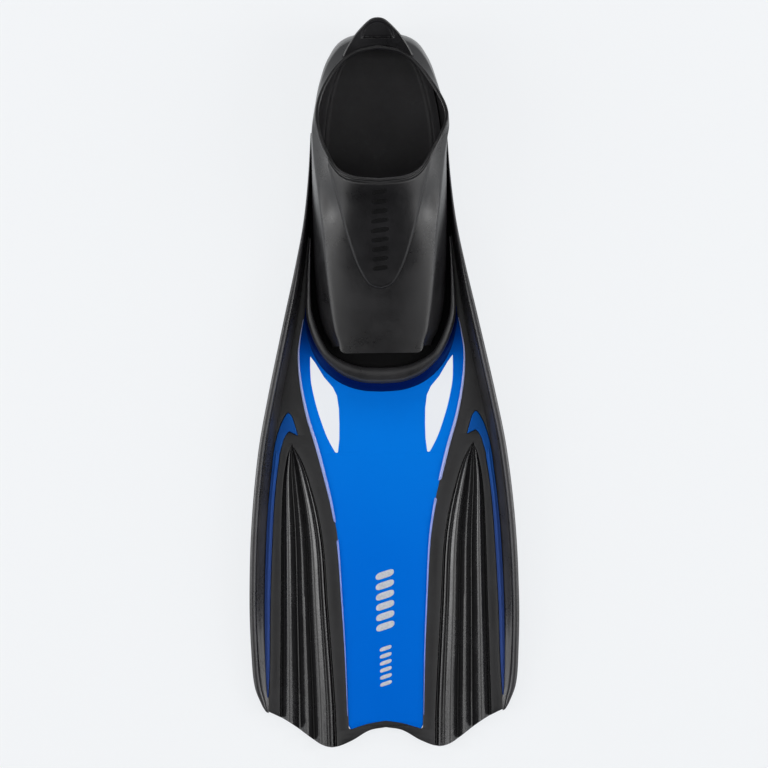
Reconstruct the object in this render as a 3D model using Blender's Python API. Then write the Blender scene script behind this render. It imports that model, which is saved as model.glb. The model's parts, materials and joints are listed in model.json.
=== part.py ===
"""A full-foot swim fin: soft foot pocket, stiff blue core blade, rubber rails, channels and tip.

Metres, +Z up. X runs across the fin, +Y towards the heel and -Y towards the tip. The origin is
on the floor below the middle of the fin. Every length below is in millimetres until place().
"""

import math
from bisect import bisect_right

import bmesh
import bpy

MM = 0.001

FLEX_Y = -64.0            # the blade bends about a line across the fin, just ahead of the vents
PLATE_GAP = 1.2           # each side of the flex line
RAIL_OPENING = 0.24       # slope of the V cut in the tall rails at the flex line
GAP = 0.36                # between neighbouring pieces

CORE_THICK = 3.0
FRAME_THICK = 4.0
FRAME_PROUD = 0.6         # frame top above the core's top
CHANNEL_THICK = 2.0
BATTEN_PROUD = 1.4
POCKET_WALL = 3.0
SOLE_BOTTOM = 1.9
SOLE_TOP = 4.2
SOLE_HALF = 59.2
SOLE_MARGIN = 0.6         # sole beyond the wall's foot
TREAD_THICK = 1.6
TREAD_GROOVE = 0.9
FOOTBED_THICK = 2.0
TONGUE_THICK = 2.6
TONGUE_CLEAR = 0.9
TONGUE_HALF = 37.0
TONGUE_SETBACK = 4.5      # from the ankle opening's rim
COLLAR_TOP = 20.0
COLLAR_ARM_RISE = 2.0
TRIM_HALF = 41.6
BATTEN_END = -268.0
CUTTER_TOP = 30.0
CUTTER_BOTTOM = -10.0
TAB_AXIS_Y = 288.0
TAB_AXIS_Z = 66.5
TAB_GAP = 2.0
TAB_THICK = 4.6
TAB_TILT = math.radians(36.5)
TAB_LENGTH = 26.5
TAB_RECESS = 1.6
RECESS_MIDDLE = 12.0      # along the tab from its axis
RECESS_RADIUS = 10.5
RECESS_SHELF = 7.5        # the recess's flat side, along the tab from its axis


def smooth(*knots):
    """A smooth function through (station, value) knots, level beyond both ends."""
    stations = [knot[0] for knot in knots]
    values = [knot[1] for knot in knots]
    last = len(knots) - 1
    slopes = []
    for i in range(last + 1):
        low, high = max(i - 1, 0), min(i + 1, last)
        slopes.append((values[high] - values[low]) / (stations[high] - stations[low]))

    def value(station):
        if station <= stations[0]:
            return values[0]
        if station >= stations[-1]:
            return values[-1]
        i = bisect_right(stations, station) - 1
        span = stations[i + 1] - stations[i]
        t = (station - stations[i]) / span
        rise = values[i + 1] - values[i]
        return (
            values[i]
            + rise * t * t * (3 - 2 * t)
            + slopes[i] * span * t * (1 - t) ** 2
            - slopes[i + 1] * span * t * t * (1 - t)
        )

    return value


def smooth_points(*knots):
    """A smooth curve in space through (station, point) knots."""
    axes = [smooth(*((station, point[i]) for station, point in knots)) for i in range(len(knots[0][1]))]
    return lambda station: tuple(axis(station) for axis in axes)


def mix(a, b, t):
    return a + (b - a) * t


# ---------------------------------------------------------------- outlines, half widths over y

fin_half = smooth(
    (-277, 104), (-258, 111.4), (-229, 114), (-185, 115), (-122, 112.7), (-59, 106.2), (-13, 97.7),
    (57.6, 82.3), (100, 72.7), (137, 65.4), (174, 61), (215, 58.2),
)
rail_width = smooth(
    (-277, 4.2), (-268, 8), (-255, 10.4), (-240, 11.3), (-185, 12.3), (-64, 12.6), (0, 12), (60, 11), (100, 8),
    (134, 5.5), (174, 3.6), (215, 2.2),
)
rail_top = smooth((-277, 10.5), (-185, 20), (-64, 27.5), (0, 30), (60, 30), (134, 27), (190, 17), (215, 10))
rail_bottom = smooth((-277, 1.8), (-240, 0), (-60, 0), (60, 0.6), (134, 1.5), (190, 3.5), (215, 5.5))

panel_half = smooth(
    (-292, 31.6), (-232, 33.4), (-185, 35.8), (-133, 39.1), (-102, 44.1), (-79, 49.5), (-53, 56.2),
    (-27, 63.7), (2, 69.1), (26, 70.4), (44, 67.9), (62, 64.2),
)
channel_inner = smooth((-308, 41.8), (-271, 42.9), (-185, 48.3), (-141, 50.9), (-112, 55.2), (-66, 68.6))
channel_outer = smooth((-283, 90.4), (-185, 88.4), (-117, 87), (-81, 84.9), (-66, 82.2))
batten_inner = smooth((-270, 99.4), (-185, 97.4), (-117, 94.2), (-85, 91.5), (-62, 88.2))
batten_outer = smooth((-270, 100.4), (-185, 102.2), (-135, 100.4), (-105, 98.3), (-74, 94.9), (-50, 91.7), (-34, 86.7))

core_top = smooth((-310, 6.4), (-277, 6.8), (-185, 9), (-64, 11.3), (-20, 11.6), (10, 10.4), (40, 8.2), (62, 7.6))
tip_edge = smooth((0, -293.4), (14, -296), (30, -305), (45, -310), (56, -307), (70, -297), (84, -287), (104, -277))
panel_end = smooth((0, -288), (14, -290), (30.5, -295))

collar_outer = smooth_points(
    (0, (0, -0.4)), (1, (17, 1)), (2, (32, 6.5)), (3, (45, 17)), (4, (54.5, 30)), (5, (61, 46)), (6, (64, 62)),
    (7, (63, 86)), (8, (61.4, 110)), (9, (59.9, 126)),
)
collar_inner = smooth_points(
    (0, (0, 13.5)), (1, (15, 14.5)), (2, (29, 18)), (3, (43, 26)), (4, (49.5, 36)), (5, (55, 49)), (6, (58.8, 64)),
    (7, (59.6, 86)), (8, (59.3, 110)), (9, (59.1, 124)),
)

arm_half = smooth((62, 64), (86, 63), (110, 61.4), (126, 59.9))


def rail_inner(y):
    return fin_half(y) - rail_width(y)


# ---------------------------------------------------------------- the foot pocket's shape

crease_half = smooth((26, 36), (60, 41), (97, 45.3), (127, 48), (158, 51.4), (191, 55.1), (215, 57))
crease_height = smooth((26, 36), (60, 42), (97, 48), (127, 53), (158, 57), (191, 60), (215, 61))
instep_height = smooth((26, 39.5), (60, 46), (97, 55), (127, 66), (152, 77), (172, 86), (200, 94))
rim_front = smooth((0, 172), (22, 174.5), (34, 180), (44, 194), (51, 210))
tongue_edge = smooth((0, 80), (10.5, 84.5), (20, 101), (29, 128), (35.6, 154), (44, 188))
CROWN = 2.4


def vamp_height(x, y):
    """Height of the pocket's outside between its two side creases."""
    across = min(abs(x) / crease_half(y), 1)
    return mix(instep_height(y), crease_height(y), across**CROWN)


def on_vamp(x, y):
    return (x, y, vamp_height(x, y))


# The pocket is drawn on ribs, 0 at the toe to 12 at the heel, from five guides.
wall_foot = smooth_points(
    (0, (41.5, 26, 10.3)), (1, (52.4, 62, 8.6)), (2, (56.2, 97, 8.6)), (3, (56.8, 128, 8.6)), (4, (56.6, 158, 5.2)),
    (5, (56.3, 185, 4.9)), (7, (55.8, 210, 4.9)), (8, (55, 221, 4.9)), (9, (52.4, 237, 4.9)),
    (10, (48.2, 256, 4.9)), (11, (40, 277, 4.9)), (11.6, (27, 291, 4.9)), (12, (0, 298, 4.9)),
)
wall_belly = smooth_points(
    (0, (41, 26, 20)), (1, (51, 61, 22)), (2, (54.5, 97, 24)), (3, (56, 128, 26)), (4, (56.8, 160, 30)),
    (5, (57.2, 187, 33)), (7, (57.4, 210, 35)), (8, (56.4, 221, 35)), (9, (53.8, 238, 34)),
    (10, (49.8, 257, 33)), (11, (41.5, 279, 32)), (11.6, (28, 294, 32)), (12, (0, 301.5, 32)),
)
crease = smooth_points(
    (0, (36, 26, 36)), (1, (41, 60, 42)), (2, (45.3, 97, 48)), (3, (48, 128, 53)), (4, (51.4, 158, 57)),
    (5, (55.1, 187, 59.5)), (7, (56.6, 211, 61)), (8, (56.1, 222, 60)), (9, (53, 238, 57)),
    (10, (48.4, 257, 55)), (11, (39.5, 277, 55)), (11.6, (26, 290, 56)), (12, (0, 297, 57)),
)
rim = smooth_points(
    (5, (0, 172)), (5.6, (22, 174.5)), (6.2, (36, 182)), (6.8, (45, 196)), (7.4, (51.5, 211)), (8, (53.8, 224)),
    (9, (52, 240)), (10, (45.5, 256)), (11, (34, 272)), (11.6, (19, 283)), (12, (0, 287)),
)
rim_height = smooth((7.4, 68.8), (8, 66), (9, 63), (10, 62), (11, 63), (11.6, 65), (12, 66))


def pocket_top(rib):
    """The upper end of a rib: the instep's middle line, then round the ankle opening."""
    if rib <= 5:
        y = mix(26, 172, rib / 5)
        return on_vamp(0, y)
    x, y = rim(rib)
    height = vamp_height(x, y) if rib < 7.4 else rim_height(rib)
    return (x, y, height)


def pocket_point(rib, rise):
    """A point of the pocket's outside: rise is 0 at the wall's foot, 1 at the crease, 2 at the top."""
    low, belly, high = wall_foot(rib), wall_belly(rib), crease(rib)
    if rise <= 1:
        a, b, c = (1 - rise) ** 2, 2 * rise * (1 - rise), rise**2
        return tuple(a * low[i] + b * (2 * belly[i] - (low[i] + high[i]) / 2) + c * high[i] for i in range(3))
    top = pocket_top(rib)
    x = mix(high[0], top[0], rise - 1)
    y = mix(high[1], top[1], rise - 1)
    flat = mix(high[2], top[2], rise - 1)
    if rib >= 8:
        return (x, y, flat)
    lifted = vamp_height(x, y)
    return (x, y, mix(lifted, flat, max(0, min(1, (rib - 6.8) / 1.2))))


# ---------------------------------------------------------------- mesh helpers


def clear_scene():
    for obj in list(bpy.data.objects):
        bpy.data.objects.remove(obj, do_unlink=True)


def make_material(name, colour, roughness, metallic=0.0):
    material = bpy.data.materials.new(name)
    material.use_nodes = True
    shader = material.node_tree.nodes["Principled BSDF"]
    shader.inputs["Base Color"].default_value = (*colour, 1)
    shader.inputs["Roughness"].default_value = roughness
    shader.inputs["Metallic"].default_value = metallic
    return material


def place(name, bm, material, turn_at=None, smooth_below=35):
    """Closes a bmesh drawn in millimetres into an object, with its origin at turn_at."""
    origin = turn_at or (0, 0, 0)
    bmesh.ops.translate(bm, verts=bm.verts, vec=[-value for value in origin])
    bmesh.ops.scale(bm, verts=bm.verts, vec=(MM, MM, MM))
    bmesh.ops.recalc_face_normals(bm, faces=bm.faces)
    mesh = bpy.data.meshes.new(name)
    bm.to_mesh(mesh)
    bm.free()
    mesh.materials.append(material)
    mesh.shade_smooth()
    mesh.set_sharp_from_angle(angle=math.radians(smooth_below))
    obj = bpy.data.objects.new(name, mesh)
    obj.location = [value * MM for value in origin]
    bpy.context.scene.collection.objects.link(obj)
    return obj


def sheet(columns, rows, point):
    """A grid whose corners run from point(0, 0) to point(1, 1)."""
    bm = bmesh.new()
    bmesh.ops.create_grid(bm, x_segments=columns, y_segments=rows, size=0.5)
    for vert in bm.verts:
        vert.co = point(vert.co.x + 0.5, vert.co.y + 0.5)
    return bm


def thicken_down(bm, bottom):
    """Extrudes an open sheet straight down to bottom(x, y, z)."""
    made = bmesh.ops.extrude_face_region(bm, geom=bm.faces[:])["geom"]
    for vert in made:
        if isinstance(vert, bmesh.types.BMVert):
            vert.co.z = bottom(*vert.co)


def thicken_in(obj, thickness):
    """Gives an open sheet its thickness on its inner side."""
    modifier = obj.modifiers.new("wall", "SOLIDIFY")
    modifier.thickness = thickness * MM
    modifier.offset = -1


def loft(sections):
    """Extrudes the first section through the others, and caps the start."""
    bm = bmesh.new()
    face = bm.faces.new([bm.verts.new(point) for point in sections[0]])
    for section in sections[1:]:
        face = bmesh.ops.extrude_discrete_faces(bm, faces=[face])["faces"][0]
        for vert, point in zip(face.verts, section):
            vert.co = point
    open_edges = [edge for edge in bm.edges if len(edge.link_faces) == 1]
    bmesh.ops.holes_fill(bm, edges=open_edges)
    return bm


def slab(outline, cuts, top, bottom):
    """Fills an outline in plan, cuts it across at each y in cuts, and gives it top and bottom."""
    bm = bmesh.new()
    bm.faces.new([bm.verts.new((x, y, 0)) for x, y in outline])
    for y in cuts:
        geometry = bm.verts[:] + bm.edges[:] + bm.faces[:]
        bmesh.ops.bisect_plane(bm, geom=geometry, plane_co=(0, y, 0), plane_no=(0, 1, 0), dist=1e-5)
    made = bmesh.ops.extrude_face_region(bm, geom=bm.faces[:])["geom"]
    lowered = {vert for vert in made if isinstance(vert, bmesh.types.BMVert)}
    for vert in bm.verts:
        vert.co.z = bottom(vert.co.y) if vert in lowered else top(vert.co.y)
    bmesh.ops.triangulate(bm, faces=bm.faces[:])
    return bm


def steps(start, end, count):
    return [mix(start, end, i / count) for i in range(count + 1)]


def both_sides():
    """(name, sign of x) for the two mirrored halves, seen from the heel towards the tip."""
    return (("left", 1), ("right", -1))


def mirrored(points, sign):
    return [(x * sign, *rest) for x, *rest in points]


# ---------------------------------------------------------------- seams and levels

CLEARANCE = GAP / 2
ROOT_END = FLEX_Y + PLATE_GAP
BLADE_START = FLEX_Y - PLATE_GAP
FLEX_Z = core_top(FLEX_Y) - CORE_THICK / 2
FRAME_END = -296.3
channel_wave = smooth(
    (0, 0), (0.05, -0.5), (0.21, 0.7), (0.33, -0.5), (0.47, 0.8), (0.61, -0.8), (0.79, 1), (0.94, -0.8), (1, 0)
)
channel_depth = smooth((-308, 3.4), (-185, 3.0), (-110, 2.2), (-66, 0.8))


def frame_top(y):
    return core_top(y) + FRAME_PROUD


def core_level(across, y):
    return core_top(y)


def frame_level(across, y):
    return frame_top(y)


def batten_level(across, y):
    return core_top(y) + BATTEN_PROUD


def channel_level(across, y):
    return core_top(y) + channel_depth(y) * channel_wave(across)


def frame_bottom(y):
    return frame_top(y) - FRAME_THICK


def core_bottom(y):
    return core_top(y) - CORE_THICK


def flare(x, y, z):
    """The soft opening bulges out a little at one side, as such a pocket does off the foot."""
    if x <= 0:
        return 0
    lift = max(0, min(1, (z - 22) / 44))
    return 5.5 * lift * lift * math.exp(-(((y - 228) / 21) ** 2)) * min(1, x / 40)


# ---------------------------------------------------------------- pocket pieces


def make_upper(material):
    half = sheet(36, 10, lambda along, across: pocket_point(12 * along, 2 * across))
    bmesh.ops.mirror(half, geom=half.verts[:] + half.edges[:] + half.faces[:], axis="X", merge_dist=0.05)
    bmesh.ops.dissolve_degenerate(half, edges=half.edges, dist=0.02)
    for vert in half.verts:
        vert.co.x += flare(*vert.co)
    obj = place("pocket_upper", half, material)
    thicken_in(obj, POCKET_WALL)
    return obj


def make_tongue(material):
    def outside(across, along):
        x = mix(-TONGUE_HALF, TONGUE_HALF, across)
        y = mix(tongue_edge(abs(x)), rim_front(abs(x)) - TONGUE_SETBACK, along)
        return (x, y, vamp_height(x, y) + TONGUE_CLEAR + TONGUE_THICK)

    bm = sheet(16, 8, outside)
    for vert in bm.verts:
        vert.co.x += flare(*vert.co)
    thicken_down(bm, lambda x, y, z: z - TONGUE_THICK)
    return place("instep_tongue", bm, material)


def make_collar(material):
    sections = []
    for station in steps(-9, 9, 44):
        sign = 1 if station >= 0 else -1
        inner, outer = collar_inner(abs(station)), collar_outer(abs(station))
        top = COLLAR_TOP + COLLAR_ARM_RISE * abs(station) / 9
        profile = ((0, None), (0, top - 2.5), (0.2, top), (0.7, top - 0.4), (1, top - 4), (1, None))
        section = []
        for across, height in profile:
            x, y = mix(inner[0], outer[0], across), mix(inner[1], outer[1], across)
            section.append((sign * x, y, core_top(y) + GAP if height is None else height))
        sections.append(section)
    return place("toe_collar", loft(sections), material)


def make_sole(material):
    front = [(0, 6), (20, 8), (36, 15), (48, 27), (55, 42), (58.6, 62)]
    side = [(min(SOLE_HALF, rail_inner(y) - GAP), y) for y in steps(80, 212, 9)]
    heel = [(wall_foot(rib)[0] + SOLE_MARGIN, wall_foot(rib)[1] + SOLE_MARGIN) for rib in steps(8, 11.9, 12)]
    half = front + side + heel + [(0, 298.8)]
    outline = half + mirrored(half[-2:0:-1], -1)
    return place("sole", slab(outline, [], lambda y: SOLE_TOP, lambda y: SOLE_BOTTOM), material)


def make_footbed(material):
    half = [
        (0, 16), (16, 18), (28, 22.5), (35, 30), (41.5, 42), (46.5, 62), (51, 97), (51.4, 128), (51.6, 158),
        (51.4, 185), (51, 210), (50, 221), (47.4, 237), (43.2, 256), (35, 275), (23, 286), (0, 291.5),
    ]
    outline = half + mirrored(half[-2:0:-1], -1)
    bm = slab(
        outline,
        steps(20, 64, 6),
        lambda y: core_top(y) + GAP + FOOTBED_THICK,
        lambda y: core_top(y) + GAP,
    )
    return place("footbed", bm, material)


def make_tread(name, material, half_width, start, end, bars):
    """A pad whose underside is cut by grooves across the foot, drawn as one side profile."""
    pitch = (end - start) / (2 * bars - 1)
    top = SOLE_BOTTOM - GAP
    profile = [(start, top), (end, top)]
    for i in range(bars):
        back = end - 2 * i * pitch
        profile += [(back, 0), (back - pitch, 0)]
        if i < bars - 1:
            profile += [(back - pitch, TREAD_GROOVE), (back - 2 * pitch, TREAD_GROOVE)]
    sections = [[(x, y, z) for y, z in profile] for x in (-half_width, half_width)]
    return place(name, loft(sections), material, smooth_below=20)


# ---------------------------------------------------------------- blade pieces


def vent_outline(sign):
    half = [
        (60.8, 24), (56.4, 18), (49.2, 6), (41.9, -2.6), (38.4, -10), (36.9, -21), (36.8, -47), (38.2, -58.6),
        (40.3, -58.4), (49.6, -39), (55.4, -21), (58.8, -6.5), (60.4, 3), (60.9, 14),
    ]
    return mirrored(half, sign)


def make_core_root(material):
    """The core from the flex line back under the foot, with its two horns and two vents."""
    edge = [(panel_half(y) - CLEARANCE, y) for y in steps(ROOT_END, 58, 14)]
    shank = [(63.6, 62), (60, 72), (57, 84), (56, 98), (42, 112), (41.5, 200), (39, 236), (31, 258), (20, 268)]
    half = edge + shank
    outline = half + [(0, 270)] + mirrored(half[::-1], -1)
    bm = slab(outline, steps(ROOT_END, 70, 14)[1:-1], core_top, core_bottom)
    obj = place("core_root", bm, material)
    for side, sign in both_sides():
        hole = slab(vent_outline(sign), [], lambda y: CUTTER_TOP, lambda y: CUTTER_BOTTOM)
        cutter = place(side + "_vent_cutter", hole, material)
        cutter.hide_render = True
        cutter.display_type = "WIRE"
        cut = obj.modifiers.new(side + "_vent", "BOOLEAN")
        cut.operation = "DIFFERENCE"
        cut.solver = "EXACT"
        cut.object = cutter
    return obj


def make_frame_root(side, sign, material):
    rows = steps(ROOT_END, 122, 22)
    inner = [(panel_half(y) + CLEARANCE, y) for y in rows if y < 60]
    arm = [(arm_half(y) + GAP, y) for y in rows if y > 60]
    outer = [(rail_inner(y) - GAP, y) for y in rows[:2:-1]]
    notch = [
        (88.4, rows[3]), (87, -34), (83.8, -27.3), (80, -23.5), (76.2, -27.7), (71.4, -44.4), (79.5, -40.6),
        (84.1, -47.4), (batten_inner(ROOT_END) - CLEARANCE, ROOT_END),
    ]
    outline = mirrored(inner + arm + outer + notch, sign)
    bm = slab(outline, rows[1:-1], frame_top, frame_bottom)
    return place(side + "_frame_root", bm, material)


def make_batten_hook(side, sign, material):
    outline = [
        (batten_outer(ROOT_END) - CLEARANCE, ROOT_END), (91.5, -50), (86.5, -34), (83.4, -28), (80, -24.2),
        (76.7, -28.2), (72.2, -43.6), (79.7, -39.8), (84.6, -46.8), (batten_inner(ROOT_END) + CLEARANCE, ROOT_END),
    ]
    bm = slab(mirrored(outline, sign), [-50, -38], lambda y: core_top(y) + BATTEN_PROUD, core_bottom)
    return place(side + "_batten_hook", bm, material)


def rail_section(y, sign, cut=0):
    """The rail's cross section; cut is +1 or -1 where the section faces the flex line."""
    half, width, top, bottom = fin_half(y), rail_width(y), rail_top(y), rail_bottom(y)
    foot = frame_top(y)
    profile = (
        (0.45, bottom), (0.12, bottom + 0.8), (0, mix(bottom, top, 0.5)), (0.05, top - 1.3), (0.2, top),
        (0.42, top - 0.9), (1, foot), (1, max(foot - FRAME_THICK, bottom + 0.2)),
    )
    section = []
    for across, z in profile:
        lean = cut * (PLATE_GAP + RAIL_OPENING * abs(z - FLEX_Z))
        section.append((sign * (half - across * width), y + lean, z))
    return section


def make_rail(name, sign, material, stations, cut):
    sections = [rail_section(stations[0], sign, cut)] + [rail_section(y, sign) for y in stations[1:]]
    return place(name, loft(sections), material, smooth_below=45)


def blade_strip(inner, outer, end, height):
    """A point of a strip between two edge curves: across and along run from 0 to 1."""

    def point(across, along):
        y = BLADE_START
        for _ in range(12):
            x = mix(inner(y) + CLEARANCE, outer(y) - CLEARANCE, across)
            y = end(abs(x)) + CLEARANCE
        y = mix(BLADE_START, y, along)
        x = mix(inner(y) + CLEARANCE, outer(y) - CLEARANCE, across)
        return (x, y, height(across, y))

    return point


def make_strip(name, sign, material, edges, end, counts, height, thickness):
    point = blade_strip(*edges, end, height)
    bm = sheet(*counts, lambda across, along: (sign * point(across, along)[0], *point(across, along)[1:]))
    thicken_down(bm, lambda x, y, z: z - thickness)
    return place(name, bm, material)


def make_tip_trim(material):
    low = [(x, tip_edge(abs(x))) for x in steps(-TRIM_HALF, TRIM_HALF, 24)]
    arch = [(x, panel_end(abs(x)) - CLEARANCE) for x in steps(30.8, -30.8, 12)]
    shoulder = FRAME_END - GAP
    notch = 31.6
    outline = low + [(TRIM_HALF, shoulder), (notch, shoulder)] + arch + [(-notch, shoulder), (-TRIM_HALF, shoulder)]
    return place("tip_trim", slab(outline, [-302, -297.5, -293], frame_top, frame_bottom), material)


def make_heel_tab(material):
    back, up = (math.cos(TAB_TILT), math.sin(TAB_TILT)), (-math.sin(TAB_TILT), math.cos(TAB_TILT))
    half_width = smooth((0, 25), (11, 18.5), (20, 10.8), (24.5, 4.8), (TAB_LENGTH, 2.2))

    def outside(across, along):
        reach = mix(TAB_GAP, TAB_LENGTH, along)
        x = mix(-1, 1, across) * half_width(reach)
        inside = min(1, max(0, (RECESS_RADIUS - math.hypot(x / 1.25, reach - RECESS_MIDDLE) + 0.8) / 1.6))
        shelf = min(1, max(0, (reach - RECESS_SHELF) / 1.5))
        lift = TAB_THICK / 2 - TAB_RECESS * inside * shelf * min(1, max(0, (21 - reach) / 2))
        return (x, TAB_AXIS_Y + back[0] * reach + up[0] * lift, TAB_AXIS_Z + back[1] * reach + up[1] * lift)

    bm = sheet(14, 12, outside)
    made = bmesh.ops.extrude_face_region(bm, geom=bm.faces[:])["geom"]
    below = [vert for vert in made if isinstance(vert, bmesh.types.BMVert)]
    for vert in below:
        reach = (vert.co.y - TAB_AXIS_Y) * back[0] + (vert.co.z - TAB_AXIS_Z) * back[1]
        lift = -TAB_THICK / 2
        vert.co.y = TAB_AXIS_Y + back[0] * reach + up[0] * lift
        vert.co.z = TAB_AXIS_Z + back[1] * reach + up[1] * lift
    return place("heel_pull_tab", bm, material, turn_at=(0, TAB_AXIS_Y, TAB_AXIS_Z))


# ---------------------------------------------------------------- the whole fin


def build():
    clear_scene()
    soft_rubber = make_material("pocket_rubber", (0.022, 0.022, 0.024), 0.42)
    collar_rubber = make_material("collar_rubber", (0.09, 0.09, 0.095), 0.38)
    blade_rubber = make_material("blade_rubber", (0.045, 0.045, 0.048), 0.5)
    channel_rubber = make_material("channel_rubber", (0.03, 0.03, 0.032), 0.34)
    sole_rubber = make_material("sole_rubber", (0.03, 0.03, 0.03), 0.7)
    core_plastic = make_material("core_plastic", (0.004, 0.12, 0.68), 0.28)

    make_upper(soft_rubber)
    make_tongue(soft_rubber)
    make_collar(collar_rubber)
    make_sole(sole_rubber)
    make_footbed(sole_rubber)
    make_tread("ball_tread", sole_rubber, 40, 45, 130, 7)
    make_tread("heel_tread", sole_rubber, 28, 222, 272, 4)
    make_heel_tab(soft_rubber)
    make_core_root(core_plastic)

    blade_pivot = bpy.data.objects.new("blade_pivot", None)
    blade_pivot.location = (0, FLEX_Y * MM, FLEX_Z * MM)
    bpy.context.scene.collection.objects.link(blade_pivot)
    on_blade = [
        make_strip(
            "blade_panel", 1, core_plastic, (lambda y: -panel_half(y), panel_half), panel_end, (8, 16),
            core_level, CORE_THICK,
        ),
        make_tip_trim(blade_rubber),
    ]
    for side, sign in both_sides():
        make_frame_root(side, sign, blade_rubber)
        make_batten_hook(side, sign, core_plastic)
        make_rail(side + "_rail_root", sign, blade_rubber, [FLEX_Y] + steps(-54, 213, 22), 1)
        on_blade += [
            make_rail(side + "_rail", sign, blade_rubber, [FLEX_Y] + steps(-75, -276, 18), -1),
            make_strip(
                side + "_inner_frame", sign, blade_rubber, (panel_half, channel_inner), lambda x: FRAME_END,
                (2, 16), frame_level, FRAME_THICK,
            ),
            make_strip(
                side + "_channel", sign, channel_rubber, (channel_inner, channel_outer), tip_edge, (20, 11),
                channel_level, CHANNEL_THICK,
            ),
            make_strip(
                side + "_outer_frame", sign, blade_rubber, (channel_outer, batten_inner), tip_edge,
                (2, 16), frame_level, FRAME_THICK,
            ),
            make_strip(
                side + "_batten", sign, core_plastic, (batten_inner, batten_outer), lambda x: BATTEN_END,
                (2, 16), batten_level, CORE_THICK + BATTEN_PROUD,
            ),
        ]
    bpy.context.view_layer.update()
    for piece in on_blade:
        piece.parent = blade_pivot
        piece.matrix_parent_inverse = blade_pivot.matrix_world.inverted()


build()
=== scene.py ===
"""Looks of a full-foot swim fin: moulded rubber, a blue polymer core and the studio it lies in."""

import json
import math
from bisect import bisect_right

import bmesh
import bpy
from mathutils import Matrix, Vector


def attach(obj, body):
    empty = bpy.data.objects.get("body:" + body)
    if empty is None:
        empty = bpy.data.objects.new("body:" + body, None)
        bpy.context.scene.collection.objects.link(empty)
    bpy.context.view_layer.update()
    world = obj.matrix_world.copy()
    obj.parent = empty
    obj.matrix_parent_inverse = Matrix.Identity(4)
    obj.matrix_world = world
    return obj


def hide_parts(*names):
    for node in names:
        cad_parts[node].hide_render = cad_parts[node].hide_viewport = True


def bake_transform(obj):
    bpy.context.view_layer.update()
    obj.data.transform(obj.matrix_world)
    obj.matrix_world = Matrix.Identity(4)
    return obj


bl_info = {
    "name": "Swim Fin",
    "version": (1, 0, 0),
    "blender": (4, 5, 0),
    "location": "3D View > Sidebar > Swim Fin",
    "description": "Models a full-foot swim fin over its packed frame",
    "category": "Object",
}

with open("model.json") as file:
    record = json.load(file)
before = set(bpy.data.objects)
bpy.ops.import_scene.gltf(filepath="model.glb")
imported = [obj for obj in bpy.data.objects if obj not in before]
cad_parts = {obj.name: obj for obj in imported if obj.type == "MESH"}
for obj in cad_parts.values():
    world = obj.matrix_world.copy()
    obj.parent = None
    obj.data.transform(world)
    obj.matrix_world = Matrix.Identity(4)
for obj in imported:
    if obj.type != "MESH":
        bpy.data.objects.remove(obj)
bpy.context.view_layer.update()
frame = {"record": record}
JOINTS = {joint["name"]: joint for joint in frame["record"]["behaviour"]["joints"]}
FLEX_JOINT, TAB_JOINT = JOINTS["blade_flex"], JOINTS["heel_tab_flex"]

# Shapes are drawn in millimetres and scaled to metres when a piece is placed.
MM = 0.001
STATION = 4.0                     # length between the cross cuts of a plate
TUCK = 0.5                        # how far a piece runs on inside the rubber that is moulded round it
CORE_THICK = 3.0
FRAME_PROUD = 0.6                 # the rubber frame stands this far above the core's face
FRAME_THICK = 4.0
STATION_MARGIN = 0.6              # a cross cut stays this far from the ends of an edge
CRISP = 32                        # edges sharper than this many degrees stay sharp in the shading
SOFT_CRISP = 50
ABOVE, BELOW = 40, -10            # levels clear of the blade, for shapes that cut right through it


# ------------------------------------------------------------------ curves


def smooth(*knots):
    """A smooth function through (station, value) knots, level beyond both ends."""
    stations = [knot[0] for knot in knots]
    values = [knot[1] for knot in knots]
    last = len(knots) - 1
    slopes = []
    for i in range(last + 1):
        low, high = max(i - 1, 0), min(i + 1, last)
        slopes.append((values[high] - values[low]) / (stations[high] - stations[low]))

    def value(station):
        if station <= stations[0]:
            return values[0]
        if station >= stations[-1]:
            return values[-1]
        i = bisect_right(stations, station) - 1
        span = stations[i + 1] - stations[i]
        t = (station - stations[i]) / span
        rise = values[i + 1] - values[i]
        return (
            values[i]
            + rise * t * t * (3 - 2 * t)
            + slopes[i] * span * t * (1 - t) ** 2
            - slopes[i + 1] * span * t * t * (1 - t)
        )

    return value


def smooth_points(*knots):
    """A smooth curve through (station, point) knots."""
    axes = [smooth(*((station, point[i]) for station, point in knots)) for i in range(len(knots[0][1]))]
    return lambda station: tuple(axis(station) for axis in axes)


def through(points, count):
    """count + 1 places along a smooth curve through points, evenly spread from knot to knot."""
    curve = smooth_points(*enumerate(points))
    return [curve(mix(0, len(points) - 1, i / count)) for i in range(count + 1)]


def mix(a, b, t):
    """The value a share t of the way from a to b."""
    return a + (b - a) * t


def ease(low, high, value):
    """Rises smoothly from 0 at low to 1 at high."""
    t = max(0.0, min(1.0, (value - low) / (high - low)))
    return t * t * (3 - 2 * t)


def steps(start, end, count):
    """count + 1 evenly spaced values."""
    return [mix(start, end, i / count) for i in range(count + 1)]


def stations(start, end):
    """Every whole station strictly between start and end, in that order."""
    low, high = min(start, end), max(start, end)
    inside = [k * STATION for k in range(math.ceil(low / STATION), math.floor(high / STATION) + 1)]
    inside = [y for y in inside if low + STATION_MARGIN < y < high - STATION_MARGIN]
    return inside if start < end else inside[::-1]


def mirrored(points, sign):
    """The points on the side that sign gives."""
    return [(x * sign, *rest) for x, *rest in points]


SIDES = (("left", 1), ("right", -1))


# ------------------------------------------------------------------ the fin's outlines, half widths over y

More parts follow.
